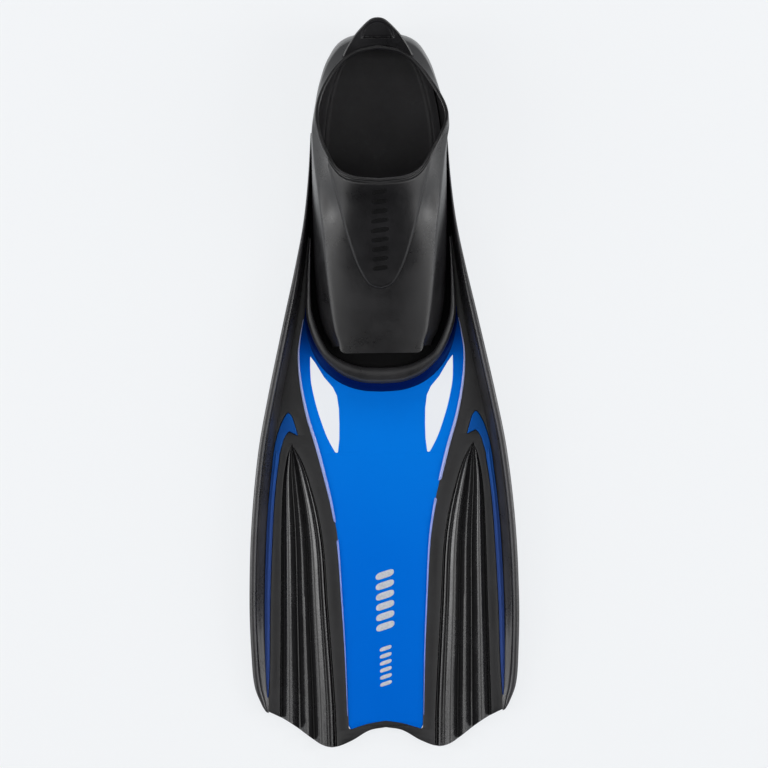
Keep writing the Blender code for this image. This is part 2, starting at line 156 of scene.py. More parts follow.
fin_half = smooth(
    (-277, 104), (-258, 111.4), (-229, 114), (-185, 115), (-122, 112.7), (-59, 106.2), (-13, 97.7),
    (57.6, 82.3), (100, 72.7), (137, 65.4), (174, 61), (215, 58.2),
)
rail_width = smooth(
    (-277, 4.2), (-268, 8), (-255, 10.4), (-240, 11.3), (-185, 12.3), (-64, 12.6), (0, 12), (60, 11),
    (100, 8),
    (134, 5.5), (174, 3.6), (215, 2.2),
)
rail_top = smooth((-277, 10.5), (-185, 20), (-64, 27.5), (0, 30), (60, 30), (134, 27), (190, 17), (215, 10))
rail_bottom = smooth((-277, 1.8), (-240, 0.1), (-60, 0.1), (60, 0.6), (134, 1.5), (190, 3.5), (215, 5.5))

panel_half = smooth(
    (-292, 31.6), (-232, 33.4), (-185, 35.8), (-133, 39.1), (-102, 44.1), (-79, 49.5), (-53, 56.2),
    (-27, 63.7), (2, 69.1), (26, 70.4), (44, 67.9), (62, 64.2),
)
channel_inner = smooth(
    (-308, 41.8), (-271, 42.9), (-185, 48.3), (-141, 50.9), (-112, 55.2), (-85, 62.1), (-65, 69.1),
    (-51, 77),
)
channel_outer = smooth((-283, 90.4), (-185, 88.4), (-117, 87), (-81, 84.9), (-60, 81), (-51, 77.6))
batten_inner = smooth((-270, 100.2), (-240, 98.6), (-185, 97.4), (-117, 94.2), (-85, 91.5), (-62, 88.2))
batten_outer = smooth(
    (-270, 100.8), (-240, 102), (-185, 102.2), (-135, 100.4), (-105, 98.3), (-74, 94.9), (-50, 91.7),
    (-34, 86.7),
)
core_top = smooth(
    (-310, 6.4), (-277, 6.8), (-185, 9), (-64, 11.3), (-20, 11.6), (10, 10.4), (40, 8.2), (62, 7.6),
)
tip_edge = smooth(
    (0, -293.4), (14, -296), (30, -305), (45, -310), (56, -307), (70, -297), (84, -287), (104, -277),
)
panel_end = smooth((0, -288), (14, -290), (30.5, -295))
arm_half = smooth((62, 64), (86, 63), (110, 61.4), (126, 59.9))

collar_outer = smooth_points(
    (0, (0, -0.4)), (1, (17, 1)), (2, (32, 6.5)), (3, (45, 17)), (4, (54.5, 30)), (5, (61, 46)),
    (6, (64, 62)),
    (7, (63, 86)), (8, (61.4, 110)), (9, (59.9, 126)),
)
collar_inner = smooth_points(
    (0, (0, 13.5)), (1, (15, 14.5)), (2, (29, 18)), (3, (43, 26)), (4, (49.5, 36)), (5, (55, 49)),
    (6, (58.8, 64)),
    (7, (59.6, 86)), (8, (59.3, 110)), (9, (59.1, 124)),
)


def rail_inner(y):
    """Where the frame meets the rail."""
    return fin_half(y) - rail_width(y)


def frame_top(y):
    return core_top(y) + FRAME_PROUD


def frame_bottom(y):
    return frame_top(y) - FRAME_THICK


def core_bottom(y):
    return core_top(y) - CORE_THICK


# ------------------------------------------------------------------ the foot pocket's shape

crease_half = smooth((26, 36), (60, 41), (97, 45.3), (127, 48), (158, 51.4), (191, 55.1), (215, 57))
crease_height = smooth((26, 36), (60, 42), (97, 48), (127, 53), (158, 57), (191, 60), (215, 61))
instep_height = smooth((26, 39.5), (60, 46), (97, 55), (127, 66), (152, 77), (172, 86), (200, 94))
rim_front = smooth((0, 172), (22, 174.5), (34, 180), (44, 194), (51, 210))
tongue_edge = smooth((0, 80), (10.5, 84.5), (20, 101), (29, 128), (35.6, 154), (44, 188))
CROWN = 2.4                       # how flat the vamp is on top, and how tight at its creases
TOE_CORNER = 6.0                  # radius of the vamp's two front corners
TOE_RIB = 0.6                     # the corners lie between the ribs 0 and this one
ANKLE_RIB, HEEL_RIB = 5, 12       # the ribs in the middle of the ankle opening's front and back
SADDLE = 4.5                      # dip of the pocket's sides between the vamp and the ankle
SADDLE_X, SADDLE_Y = 44, 152
SADDLE_WIDE, SADDLE_LONG = 9, 15
ANKLE_MIDDLE = 225                # middle of the ankle opening
RIB_BOW = 5.0                     # how far the ribs at the front of the ankle opening curve towards the toe
BOW_SPREAD = 1.1
FLARE = 5.5                       # how far the ankle opening bulges at one side
FLARE_Y, FLARE_LONG = 228, 21
FLARE_FOOT, FLARE_RISE = 22, 44   # the bulge starts at this height, and is full this much higher


def vamp_height(x, y):
    """Height of the pocket's outside between its two side creases."""
    across = min(abs(x) / crease_half(y), 1)
    away = ((y - SADDLE_Y) / SADDLE_LONG) ** 2 + ((abs(x) - SADDLE_X) / SADDLE_WIDE) ** 2
    saddle = SADDLE * math.exp(-away) * (1 - across**8)
    return mix(instep_height(y), crease_height(y), across**CROWN) - saddle


# The pocket is drawn on ribs, 0 at the toe to 12 at the heel, from four guides.
wall_foot = smooth_points(
    (0, (41.5, 26, 10.3)), (1, (52.4, 62, 8.6)), (2, (56.2, 97, 8.6)), (3, (56.8, 128, 8.6)),
    (4, (56.6, 158, 5.2)),
    (5, (56.3, 185, 4.9)), (7, (55.8, 210, 4.9)), (8, (55, 221, 4.9)), (9, (52.4, 237, 4.9)),
    (10, (48.2, 256, 4.9)), (11, (40, 277, 4.9)), (11.6, (27, 291, 4.9)), (12, (0, 298, 4.9)),
)
wall_belly = smooth_points(
    (0, (41, 26, 20)), (1, (51, 61, 22)), (2, (54.5, 97, 24)), (3, (56, 128, 26)), (4, (56.8, 160, 30)),
    (5, (57.2, 187, 33)), (7, (57.4, 210, 35)), (8, (56.4, 221, 35)), (9, (53.8, 238, 34)),
    (10, (49.8, 257, 33)), (11, (41.5, 279, 32)), (11.6, (28, 294, 32)), (12, (0, 301.5, 32)),
)
crease = smooth_points(
    (0, (36, 26, 36)), (1, (41, 60, 42)), (2, (45.3, 97, 48)), (3, (48, 128, 53)), (4, (51.4, 158, 57)),
    (5, (55.1, 187, 59.5)), (7, (56.6, 211, 61)), (8, (56.1, 222, 60)), (9, (53, 238, 57)),
    (10, (48.4, 257, 55)), (11, (39.5, 277, 55)), (11.6, (26, 290, 56)), (12, (0, 297, 57)),
)
rim = smooth_points(
    (5, (0, 172)), (5.6, (22, 174.5)), (6.2, (36, 182)), (6.8, (45, 196)), (7.4, (51.5, 211)),
    (8, (53.8, 224)),
    (9, (52, 240)), (10, (45.5, 256)), (11, (34, 272)), (11.6, (19, 283)), (12, (0, 287)),
)
rim_height = smooth((7.4, 68.8), (8, 66), (9, 63), (10, 62), (11, 63), (11.6, 65), (12, 66))


def pocket_top(rib):
    """The upper end of a rib: the instep's middle line, then round the ankle opening."""
    if rib <= ANKLE_RIB:
        y = mix(26, 172, rib / ANKLE_RIB)
        return (0, y, vamp_height(0, y))
    x, y = rim(rib)
    return (x, y, vamp_height(x, y) if rib < 7.4 else rim_height(rib))


def pocket_point(rib, rise):
    """A point of the pocket's outside: rise is 0 at the wall's foot, 1 at the crease, 2 at the top."""
    low, belly, high = wall_foot(rib), wall_belly(rib), crease(rib)
    if rise <= 1:
        a, b, c = (1 - rise) ** 2, 2 * rise * (1 - rise), rise**2
        x, y, z = (a * low[i] + b * (2 * belly[i] - (low[i] + high[i]) / 2) + c * high[i] for i in range(3))
        return (x, y + TOE_CORNER * (1 - ease(0, TOE_RIB, rib)), z)
    top = pocket_top(rib)
    bow = 4 * RIB_BOW * math.exp(-(((rib - ANKLE_RIB) / BOW_SPREAD) ** 2))
    x = mix(high[0], top[0], rise - 1)
    y = mix(high[1], top[1], rise - 1) - bow * (rise - 1) * (2 - rise)
    corner = max(0.0, (x - high[0] + TOE_CORNER) / TOE_CORNER) if rib < TOE_RIB else 0.0
    y += TOE_CORNER * (1 - math.sqrt(max(0.0, 1 - corner**2))) * (1 - ease(0, TOE_RIB, rib))
    flat = mix(high[2], top[2], rise - 1)
    if rib >= 8:
        return (x, y, flat)
    return (x, y, mix(vamp_height(x, y), flat, ease(6.8, 8, rib)))


def flare(x, y, z):
    """The soft opening bulges out a little at one side, as such a pocket does off the foot."""
    if x <= 0:
        return 0
    lift = max(0, min(1, (z - FLARE_FOOT) / FLARE_RISE))
    return FLARE * lift * lift * math.exp(-(((y - FLARE_Y) / FLARE_LONG) ** 2)) * min(1, x / 40)


# ------------------------------------------------------------------ mesh helpers


def sheet(columns, rows, point):
    """A grid whose corners run from point(0, 0) to point(1, 1)."""
    bm = bmesh.new()
    bmesh.ops.create_grid(bm, x_segments=columns, y_segments=rows, size=0.5)
    for vert in bm.verts:
        vert.co = point(vert.co.x + 0.5, vert.co.y + 0.5)
    return bm


def thicken_down(bm, depth):
    """Closes an open sheet with a copy of itself, depth(x, y) lower."""
    made = bmesh.ops.extrude_face_region(bm, geom=bm.faces[:])["geom"]
    for vert in made:
        if isinstance(vert, bmesh.types.BMVert):
            vert.co.z -= depth(vert.co.x, vert.co.y)
    return bm


def loft(sections):
    """Extrudes the first section through the others, and caps both ends."""
    bm = bmesh.new()
    face = bm.faces.new([bm.verts.new(point) for point in sections[0]])
    first = list(face.verts)
    for section in sections[1:]:
        face = bmesh.ops.extrude_discrete_faces(bm, faces=[face])["faces"][0]
        for vert, point in zip(face.verts, section):
            vert.co = point
    start = [edge for vert in first if vert.is_valid for edge in vert.link_edges if edge.is_boundary]
    bmesh.ops.holes_fill(bm, edges=list(set(start)))
    return bm


def plate(outline, top, bottom, cuts=None):
    """Fills an outline in plan, cuts it across at every station, and lays it between two heights over y."""
    bm = bmesh.new()
    bm.faces.new([bm.verts.new((x, y, 0)) for x, y in outline])
    low, high = min(y for _, y in outline), max(y for _, y in outline)
    for y in stations(low, high) if cuts is None else cuts:
        geometry = bm.verts[:] + bm.edges[:] + bm.faces[:]
        bmesh.ops.bisect_plane(bm, geom=geometry, plane_co=(0, y, 0), plane_no=(0, 1, 0), dist=0.25)
    made = bmesh.ops.extrude_face_region(bm, geom=bm.faces[:])["geom"]
    lowered = {vert for vert in made if isinstance(vert, bmesh.types.BMVert)}
    for vert in bm.verts:
        vert.co.z = bottom(vert.co.y) if vert in lowered else top(vert.co.y)
    return bm


def join(*parts):
    """Puts several closed bodies into one mesh."""
    whole = parts[0]
    for part in parts[1:]:
        spare = bpy.data.meshes.new("spare")
        part.to_mesh(spare)
        part.free()
        whole.from_mesh(spare)
        bpy.data.meshes.remove(spare)
    return whole


def place(name, bm, material, crisp=CRISP):
    """Makes the finished object of a bmesh drawn in millimetres, at the origin."""
    bmesh.ops.scale(bm, verts=bm.verts, vec=(MM, MM, MM))
    bmesh.ops.recalc_face_normals(bm, faces=bm.faces)
    mesh = bpy.data.meshes.new(name)
    bm.to_mesh(mesh)
    bm.free()
    mesh.materials.append(material)
    mesh.shade_smooth()
    mesh.set_sharp_from_angle(angle=math.radians(crisp))
    obj = bpy.data.objects.new(name, mesh)
    bpy.context.scene.collection.objects.link(obj)
    return obj


def soften(obj, width, segments=2, angle=40):
    """Rounds an object's edges; width is in millimetres."""
    modifier = obj.modifiers.new("edges", "BEVEL")
    modifier.width = width * MM
    modifier.segments = segments
    modifier.limit_method = "ANGLE"
    modifier.angle_limit = math.radians(angle)
    modifier.use_clamp_overlap = False
    modifier.miter_outer = "MITER_ARC"


def carve(obj, bm):
    """Cuts a closed shape out of an object."""
    cutter = place(obj.name + "_cutter", bm, obj.data.materials[0])
    modifier = obj.modifiers.new("cut", "BOOLEAN")
    modifier.operation = "DIFFERENCE"
    modifier.solver = "EXACT"
    modifier.object = cutter
    settle(obj)
    spare = cutter.data
    bpy.data.objects.remove(cutter)
    bpy.data.meshes.remove(spare)


def settle(obj, crisp=CRISP):
    """Turns an object's modifiers into its mesh."""
    bpy.context.view_layer.update()
    graph = bpy.context.evaluated_depsgraph_get()
    mesh = bpy.data.meshes.new_from_object(obj.evaluated_get(graph))
    spare, name = obj.data, obj.data.name
    obj.modifiers.clear()
    obj.data = mesh
    bpy.data.meshes.remove(spare)
    mesh.name = name
    mesh.shade_smooth()
    mesh.set_sharp_from_angle(angle=math.radians(crisp))


def bend_with_blade(obj):
    """The piece runs on across the flex line; this turns its modifiers into its mesh and bakes its place into
    the mesh.
    """
    settle(obj)
    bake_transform(obj)


# ------------------------------------------------------------------ finishes


def new_material(name):
    """A new material, with its nodes, its links and its shader."""
    material = bpy.data.materials.new(name)
    material.use_nodes = True
    nodes, links = material.node_tree.nodes, material.node_tree.links
    return material, nodes, links, nodes["Principled BSDF"]


def noise(nodes, links, coords, scale, detail, rough, stretch=(1, 1, 1)):
    """Noise that is fixed to the piece; a stretch under 1 draws it out along that axis."""
    mapping = nodes.new("ShaderNodeMapping")
    mapping.inputs["Scale"].default_value = stretch
    texture = nodes.new("ShaderNodeTexNoise")
    texture.inputs["Scale"].default_value = scale
    texture.inputs["Detail"].default_value = detail
    texture.inputs["Roughness"].default_value = rough
    links.new(coords.outputs["Object"], mapping.inputs["Vector"])
    links.new(mapping.outputs["Vector"], texture.inputs["Vector"])
    return texture.outputs["Fac"]


def ramp(nodes, links, source, low, high, low_at=0.35, high_at=0.65):
    """Maps a source from low_at..high_at to low..high."""
    node = nodes.new("ShaderNodeMapRange")
    node.inputs["From Min"].default_value = low_at
    node.inputs["From Max"].default_value = high_at
    node.inputs["To Min"].default_value = low
    node.inputs["To Max"].default_value = high
    links.new(source, node.inputs["Value"])
    return node.outputs["Result"]


def blend_colours(nodes, links, factor, first, second):
    """Mixes two colours, each of them a fixed colour or another node's output."""
    node = nodes.new("ShaderNodeMix")
    node.data_type = "RGBA"
    links.new(factor, node.inputs["Factor"])
    for socket, value in (("A", first), ("B", second)):
        target = next(i for i in node.inputs if i.name == socket and i.type == "RGBA")
        if hasattr(value, "links"):
            links.new(value, target)
        else:
            target.default_value = (*value, 1)
    return next(o for o in node.outputs if o.type == "RGBA")


def bump(nodes, links, height, strength, distance, below=None):
    """Surface relief; distance is in metres, and below is coarser relief under it."""
    node = nodes.new("ShaderNodeBump")
    node.inputs["Strength"].default_value = strength
    node.inputs["Distance"].default_value = distance
    links.new(height, node.inputs["Height"])
    if below is not None:
        links.new(below, node.inputs["Normal"])
    return node.outputs["Normal"]


def rubber(name, colour, roughness, grain, specular, scuff, streak):
    """Moulded rubber: fine mould grain, cloudy bloom and paler scuffs, which a low streak stretches."""
    material, nodes, links, shader = new_material(name)
    coords = nodes.new("ShaderNodeTexCoord")
    cloud = noise(nodes, links, coords, 24, 5, 0.62)
    speck = noise(nodes, links, coords, 420, 3, 0.7)
    rubbed = noise(nodes, links, coords, 60, 6, 0.75, (1, streak, 1))
    dark = [value * 0.72 for value in colour]
    pale = [value * 1.35 + 0.001 for value in colour]
    scuffed = [value * 1.8 + 0.01 for value in colour]
    body = blend_colours(nodes, links, ramp(nodes, links, cloud, 0, 1), dark, pale)
    worn = ramp(nodes, links, rubbed, 0, scuff, 0.6, 0.78)
    links.new(blend_colours(nodes, links, worn, body, scuffed), shader.inputs["Base Color"])
    rough = nodes.new("ShaderNodeMath")
    rough.operation = "ADD"
    links.new(ramp(nodes, links, cloud, roughness - 0.05, roughness + 0.05), rough.inputs[0])
    links.new(ramp(nodes, links, speck, -0.03, 0.04), rough.inputs[1])
    links.new(rough.outputs[0], shader.inputs["Roughness"])
    shader.inputs["Specular IOR Level"].default_value = specular
    waves = bump(nodes, links, cloud, 0.08, 0.0012)
    links.new(bump(nodes, links, speck, grain, 0.00016, waves), shader.inputs["Normal"])
    return material


def polymer(name, tones, roughness, sheen_colour, specular):
    """Glossy moulded polymer whose tone shifts along the fin; tones are (y in metres, colour) pairs."""
    material, nodes, links, shader = new_material(name)
    coords = nodes.new("ShaderNodeTexCoord")
    cloud = noise(nodes, links, coords, 9, 3, 0.5)
    grain = noise(nodes, links, coords, 700, 2, 0.5)
    scratch = noise(nodes, links, coords, 130, 4, 0.7, (6, 0.35, 1))
    axes = nodes.new("ShaderNodeSeparateXYZ")
    links.new(coords.outputs["Object"], axes.inputs["Vector"])
    low, high = tones[0][0], tones[-1][0]
    scale = nodes.new("ShaderNodeValToRGB")
    scale.color_ramp.interpolation = "B_SPLINE"
    while len(scale.color_ramp.elements) < len(tones):
        scale.color_ramp.elements.new(0.5)
    for element, (y, colour) in zip(scale.color_ramp.elements, tones):
        element.position = (y - low) / (high - low)
        element.color = (*colour, 1)
    wavered = nodes.new("ShaderNodeMath")
    wavered.operation = "ADD"
    links.new(ramp(nodes, links, axes.outputs["Y"], 0, 1, low, high), wavered.inputs[0])
    links.new(ramp(nodes, links, cloud, -0.03, 0.03), wavered.inputs[1])
    links.new(wavered.outputs[0], scale.inputs["Fac"])
    rubbed = ramp(nodes, links, scratch, 0, 0.16, 0.66, 0.82)
    pale = [min(1, value * 1.2 + 0.04) for value in tones[-2][1]]
    tone = blend_colours(nodes, links, rubbed, scale.outputs["Color"], pale)
    links.new(tone, shader.inputs["Base Color"])
    links.new(ramp(nodes, links, scratch, roughness, roughness + 0.12, 0.45, 0.8), shader.inputs["Roughness"])
    shader.inputs["Specular IOR Level"].default_value = specular
    shader.inputs["Specular Tint"].default_value = (*sheen_colour, 1)
    waves = bump(nodes, links, cloud, 0.04, 0.002)
    links.new(bump(nodes, links, grain, 0.06, 0.00008, waves), shader.inputs["Normal"])
    return material


def ink(name, colour):
    """Silver pad print with fine breaks where it has rubbed."""
    material, nodes, links, shader = new_material(name)
    coords = nodes.new("ShaderNodeTexCoord")
    speck = noise(nodes, links, coords, 600, 4, 0.7)
    dull = [value * 0.8 for value in colour]
    links.new(
        blend_colours(nodes, links, ramp(nodes, links, speck, 0, 1, 0.35, 0.6), dull, colour),
        shader.inputs["Base Color"],
    )
    links.new(ramp(nodes, links, speck, 0.32, 0.5), shader.inputs["Roughness"])
    shader.inputs["Metallic"].default_value = 0.35
    links.new(bump(nodes, links, speck, 0.1, 0.00005), shader.inputs["Normal"])
    return material


# Tones along the fin as (y in metres, colour setting), roughness, colour of the sheen, specular level.
POLYMERS = {
    # Painted light and shade: the core is lighter between the vents and darker towards the toe bow and its
    # horns.
    "core_polymer": (
        (
            (-0.3, "core_low"), (-0.16, "core_middle"), (-0.06, "core_painted_vent_light"), (-0.01, "core_painted_vent_light"),
            (0.03, "core_painted_horn_shade"), (0.055, "core_painted_collar_shade"),
        ),
        0.3, (0.02, 0.3, 1.0), 0.4,
    ),
    # Painted shade: the cove in front of the toe bow takes the core's darkest blue.
    "shoulder_painted_shade": (
        ((-0.1, "core_painted_collar_shade"), (0, "core_painted_collar_shade"), (0.07, "core_painted_collar_shade")),
        0.34, (0.05, 0.25, 1.0), 0.4,
    ),
    "batten_polymer": (
        ((-0.28, "batten_low"), (-0.12, "batten_low"), (-0.04, "batten_high"), (0, "batten_high")),
        0.34, (0.12, 0.3, 1.0), 0.4,
    ),
    # Painted highlight: the lip's pale, lilac tones stand in for light on the blue bead's edge.
    "lip_painted_highlight": (
        ((-0.3, "lip_highlight_tip"), (-0.15, "lip_highlight_tip"), (-0.04, "lip_highlight_vents"), (0.07, "lip_highlight_vents")),
        0.24, (0.8, 0.85, 1.0), 0.6,
    ),
}

# Colour setting, roughness, grain, specular level, scuff, streak.
RUBBERS = {
    "skin_rubber": ("pocket", 0.32, 0.14, 0.5, 0.3, 1),
    "rim_rubber": ("pocket", 0.4, 0.15, 0.4, 0.2, 1),
    "instep_rubber": ("pocket", 0.34, 0.2, 0.4, 0.2, 1),
    "instep_mark": ("mark", 0.7, 0.3, 0.12, 0.1, 1),
    # Painted shade: a near-black matte finish for the toe slot's liner and the skirt, where shade falls.
    "painted_shade_rubber": ("mark", 0.85, 0.3, 0.12, 0.05, 1),
    "insole_rubber": ("insole", 0.6, 0.3, 0.35, 0.6, 1),
    "bow_rubber": ("collar", 0.34, 0.18, 0.42, 0.4, 1),
    "frame_rubber": ("frame", 0.42, 0.25, 0.4, 0.4, 1),
    "rail_rubber": ("rail", 0.3, 0.18, 0.5, 0.5, 0.15),
    "flute_rubber": ("channel", 0.24, 0.14, 0.55, 0.4, 0.12),
    "outsole_rubber": ("sole", 0.62, 0.4, 0.35, 0.8, 1),
}


def finish(name):
    """The finish with this name, made from the colours in the sidebar the first time that it is used."""
    made = bpy.data.materials.get(name)
    if made:
        return made
    look = bpy.context.scene.fin_look
    if name == "silver_ink":
        return ink(name, look.ink)
    if name in POLYMERS:
        tones, *surface = POLYMERS[name]
        return polymer(name, [(y, getattr(look, tone)) for y, tone in tones], *surface)
    colour, *surface = RUBBERS[name]
    return rubber(name, getattr(look, colour), *surface)


# ------------------------------------------------------------------ pocket pieces


def ride_pocket(obj, slot, *nodes):
    """The piece stays with the foot pocket."""
    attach(obj, "foot_pocket")
    if nodes:
        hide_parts(*nodes)


def round_over(distance, radius):
    """How far an edge of this radius has fallen, distance in from the edge."""
    inward = max(0.0, min(radius, distance))
    return radius - math.sqrt(max(0.0, radius**2 - (radius - inward) ** 2))


def build_pocket_shell(size):
    """One skin from the sole's edge over the side creases to the instep and round the ankle."""
    rises = steps(0, 1, 26) + steps(1, 1.8, 18)[1:] + steps(1.8, 2, 10)[1:]
    ribs, rows = 144, len(rises) - 1

    def outside(along, across):
        return pocket_point(HEEL_RIB * along, rises[round(across * rows)])

    bm = sheet(ribs, rows, outside)
    ring = ribs + 1
    near = [vert for vert in bm.verts if abs(rises[vert.index // ring] - 1) < 0.05 and vert.index % ring]
    for _ in range(2):
        bmesh.ops.smooth_vert(bm, verts=near, factor=0.5, use_axis_x=True, use_axis_y=True, use_axis_z=True)
    bmesh.ops.mirror(bm, geom=bm.verts[:] + bm.edges[:] + bm.faces[:], axis="X", merge_dist=0.05)
    bmesh.ops.dissolve_degenerate(bm, edges=bm.edges[:], dist=0.01)
    for vert in bm.verts:
        vert.co.x += flare(*vert.co)
    obj = place("pocket_shell", bm, finish("skin_rubber"), SOFT_CRISP)
    wall = obj.modifiers.new("wall", "SOLIDIFY")
    wall.thickness = size.pocket_wall
    wall.offset = -1
    settle(obj, 60)
    ride_pocket(obj, "pocket_rubber", "pocket_upper")


RIM_SIDES = 14


def build_rolled_rim(size):
    """The rolled edge all the way round the ankle opening."""
    radius, wall = size.rim_radius / MM, size.pocket_wall / MM
    half = [rim_point(rib, wall / 2) for rib in steps(ANKLE_RIB, HEEL_RIB, 110)]
    path = [Vector(point) for point in half + mirrored(half[-2:0:-1], -1)]
    for point in path:
        point.x += flare(*point)
    sections = []
    for i, point in enumerate([*path, path[0]]):
        run = (path[(i + 1) % len(path)] - path[i - 1 if i < len(path) else -1]).normalized()
        out = Vector((run.y, -run.x, 0)).normalized()
        up = run.cross(out)
        ring = [(math.cos(turn), 0.9 * math.sin(turn)) for turn in steps(0, math.tau, RIM_SIDES)[:-1]]
        sections.append([point + out * radius * across + up * radius * along for across, along in ring])
    obj = place("ankle_rim", loft(sections), finish("rim_rubber"), 70)
    ride_pocket(obj, "pocket_rubber")


def rim_point(rib, depth):
    """The middle of the wall at the ankle opening: below the instep's edge, inside the sides' edge."""
    top = Vector(pocket_point(rib, 2))
    inwards = Vector((-top.x, ANKLE_MIDDLE - top.y, 0)).normalized()
    return tuple(top + Vector((0, 0, -1)).lerp(inwards, ease(6.2, 7.8, rib)) * depth)


def build_instep_pad(size):
    """The raised tongue moulded on the instep, with low grip bars down its middle."""
    reach, thick, buried = 43.2, 2.6, 0.8
    rim_gap, rim_drop, rim_slope = 1.4, 1.2, 3

    def outside(across, along):
        x = mix(-reach, reach, across)
        end = rim_front(abs(x)) - rim_gap
        y = mix(tongue_edge(abs(x)), end, along)
        slope = (tongue_edge(abs(x) + 0.5) - tongue_edge(abs(x) - 0.5)) if abs(x) > 0.5 else 0
        inset = (y - tongue_edge(abs(x))) / math.hypot(1, slope)
        low = max(round_over(inset, thick), rim_drop * (1 - ease(0, rim_slope, end - y)))
        return (x + flare(x, y, 60), y, vamp_height(x, y) + thick - low)

    bm = thicken_down(sheet(72, 96, outside), lambda x, y: thick + buried)
    pad = place("instep_pad", bm, finish("instep_rubber"), 40)
    ride_pocket(pad, "pocket_rubber", "instep_tongue")

    bars = []
    for i, middle in enumerate(steps(98, 162, 8)):
        half_length = size.grip_bar / MM / 2 * (1 - 0.045 * abs(i - 4))
        bars.append(pill(0, middle, half_length, 1.9, lambda x, y: vamp_height(x, y) + thick, 0.55, 0.12))
    ride_pocket(place("instep_bars", join(*bars), finish("instep_mark"), SOFT_CRISP), "pocket_rubber")


def pill(x, y, length, radius, ground, proud, slant):
    """A soft-ended bar lying across the fin, its middle at (x, y); length is half its whole length."""

    def outside(across, along):
        a, b = 2 * across - 1, 2 * along - 1
        u = a * (length - radius) + radius * a * math.sqrt(1 - b * b / 2)
        v = radius * b * (1 - 0.3 * abs(a) ** 5) + u * slant
        rise = proud * (1 - max(abs(a), abs(b)) ** 4)
        return (x + u, y + v, ground(x + u, y + v) + rise)

    buried = 0.9
    return thicken_down(sheet(16, 8, outside), lambda x, y: buried)


ARM_END = 9                       # the last station of the toe bow's arms
FULL_WIDTH = 9                    # the bow is rounded in full where it is at least this wide


def build_toe_collar(size):
    """The rounded rubber bow round the toe, with an arm along each side of the pocket."""
    sections = []
    for station in steps(-ARM_END, ARM_END, 132):
        sign = 1 if station >= 0 else -1
        inner, outer = collar_inner(abs(station)), collar_outer(abs(station))
        top = size.collar_height / MM + 2 * abs(station) / ARM_END
        fall = min(1, math.dist(inner, outer) / FULL_WIDTH)
        rounding = (
            (0, None), (0, top - 4), (0.02, top - 2), (0.07, top - 0.9), (0.16, top - 0.25), (0.3, top),
            (0.46, top - 0.15), (0.62, top - 0.7 * fall), (0.76, top - 1.7 * fall),
            (0.88, top - 3.4 * fall),
            (0.96, top - 5.4 * fall), (1, top - 7.5 * fall), (1, None),
        )
        section = []
        for across, height in rounding:
            x, y = mix(inner[0], outer[0], across), mix(inner[1], outer[1], across)
            section.append((sign * x, y, core_top(y) - TUCK if height is None else height))
        sections.append(section)
    obj = place("toe_bow", loft(sections), finish("bow_rubber"), 48)
    ride_pocket(obj, "collar_rubber", "toe_collar")


def build_skirt():
    """The rubber floor between the pocket's walls, the toe bow's arms and the rails, in the near-black matte
    finish that paints shade.
    """
    bow = []
    for station in steps(0, ARM_END, 60):
        inner, outer = collar_inner(station), collar_outer(station)
        bow.append((mix(inner[0], outer[0], 0.4), mix(inner[1], outer[1], 0.4)))
    flank = [(rail_inner(y) + TUCK, y) for y in steps(116, 213, 32)]
    half = bow + flank
    outline = half + mirrored(half[-1:0:-1], -1)
    bm = plate(outline, lambda y: core_top(y) + 0.5, lambda y: core_top(y) - 3.4)
    ride_pocket(place("pocket_skirt", bm, finish("painted_shade_rubber")), "pocket_rubber")


def build_footbed():
    """The dished insole, whose edge sweeps up into the side walls."""
    half = smooth(
        (10, 16), (16, 30), (24, 38), (32, 42), (44, 46), (62, 49), (97, 52.5), (128, 53.2),
        (158, 53.4), (185, 53.4),
        (210, 53), (221, 52), (237, 49.6), (256, 45), (275, 37), (286, 27), (291, 18), (294, 10),
    )

    toe, heel, thick = 10, 294, 2
    cove_height, cove_width, heel_sweep = 13, 7.5, 16

    def outside(across, along):
        y = mix(toe, heel, 0.5 - 0.5 * math.cos(math.pi * along))
        x = mix(-half(y), half(y), across)
        inset = half(y) - abs(x)
        cove = cove_height * (1 - min(1, inset / cove_width)) ** 2
        ledge = 0.7 * math.exp(-(((inset - 8) / 1.2) ** 2))
        sweep = heel_sweep * max(0, (y - 272) / 22) ** 2
        return (x, y, core_top(y) + 2.4 + ease(30, 90, y) * (cove + ledge) + sweep * (1 - cove / 20))

    bm = thicken_down(sheet(96, 120, outside), lambda x, y: thick)
    ride_pocket(place("insole", bm, finish("insole_rubber"), 40), "sole_rubber", "footbed")
    # Painted shade: a near-black matte liner over the insole's front, in the toe slot.
    shade_outline = [(x, y) for x, y in through([(0, 9), (18, 11), (34, 18), (45, 28), (50, 38)], 20)]
    outline = shade_outline + [(48, 48)] + mirrored([(48, 48)] + shade_outline[:0:-1], -1)
    bm = plate(outline, lambda y: core_top(y) + 3.1, lambda y: core_top(y) + 0.6)
    ride_pocket(place("toe_painted_shade", bm, finish("painted_shade_rubber")), "sole_rubber")


def sole_outline(grown):
    """The outsole's edge, which stands out by grown from the pocket's wall round the heel."""
    front = [(0, 6), (20, 8), (36, 15), (48, 27), (55, 42), (58.6, 62)]
    side = [(min(59.2, rail_inner(y) - 0.3), y) for y in steps(80, 212, 22)]
    heel = [(wall_foot(rib)[0] + 0.6, wall_foot(rib)[1] + 0.6) for rib in steps(8, 11.95, 30)]
    half = through(front, 24) + [(x + grown * ease(150, 215, y), y) for x, y in side + heel]
    return half + [(0, 298.9)] + mirrored(half[-1:0:-1], -1)


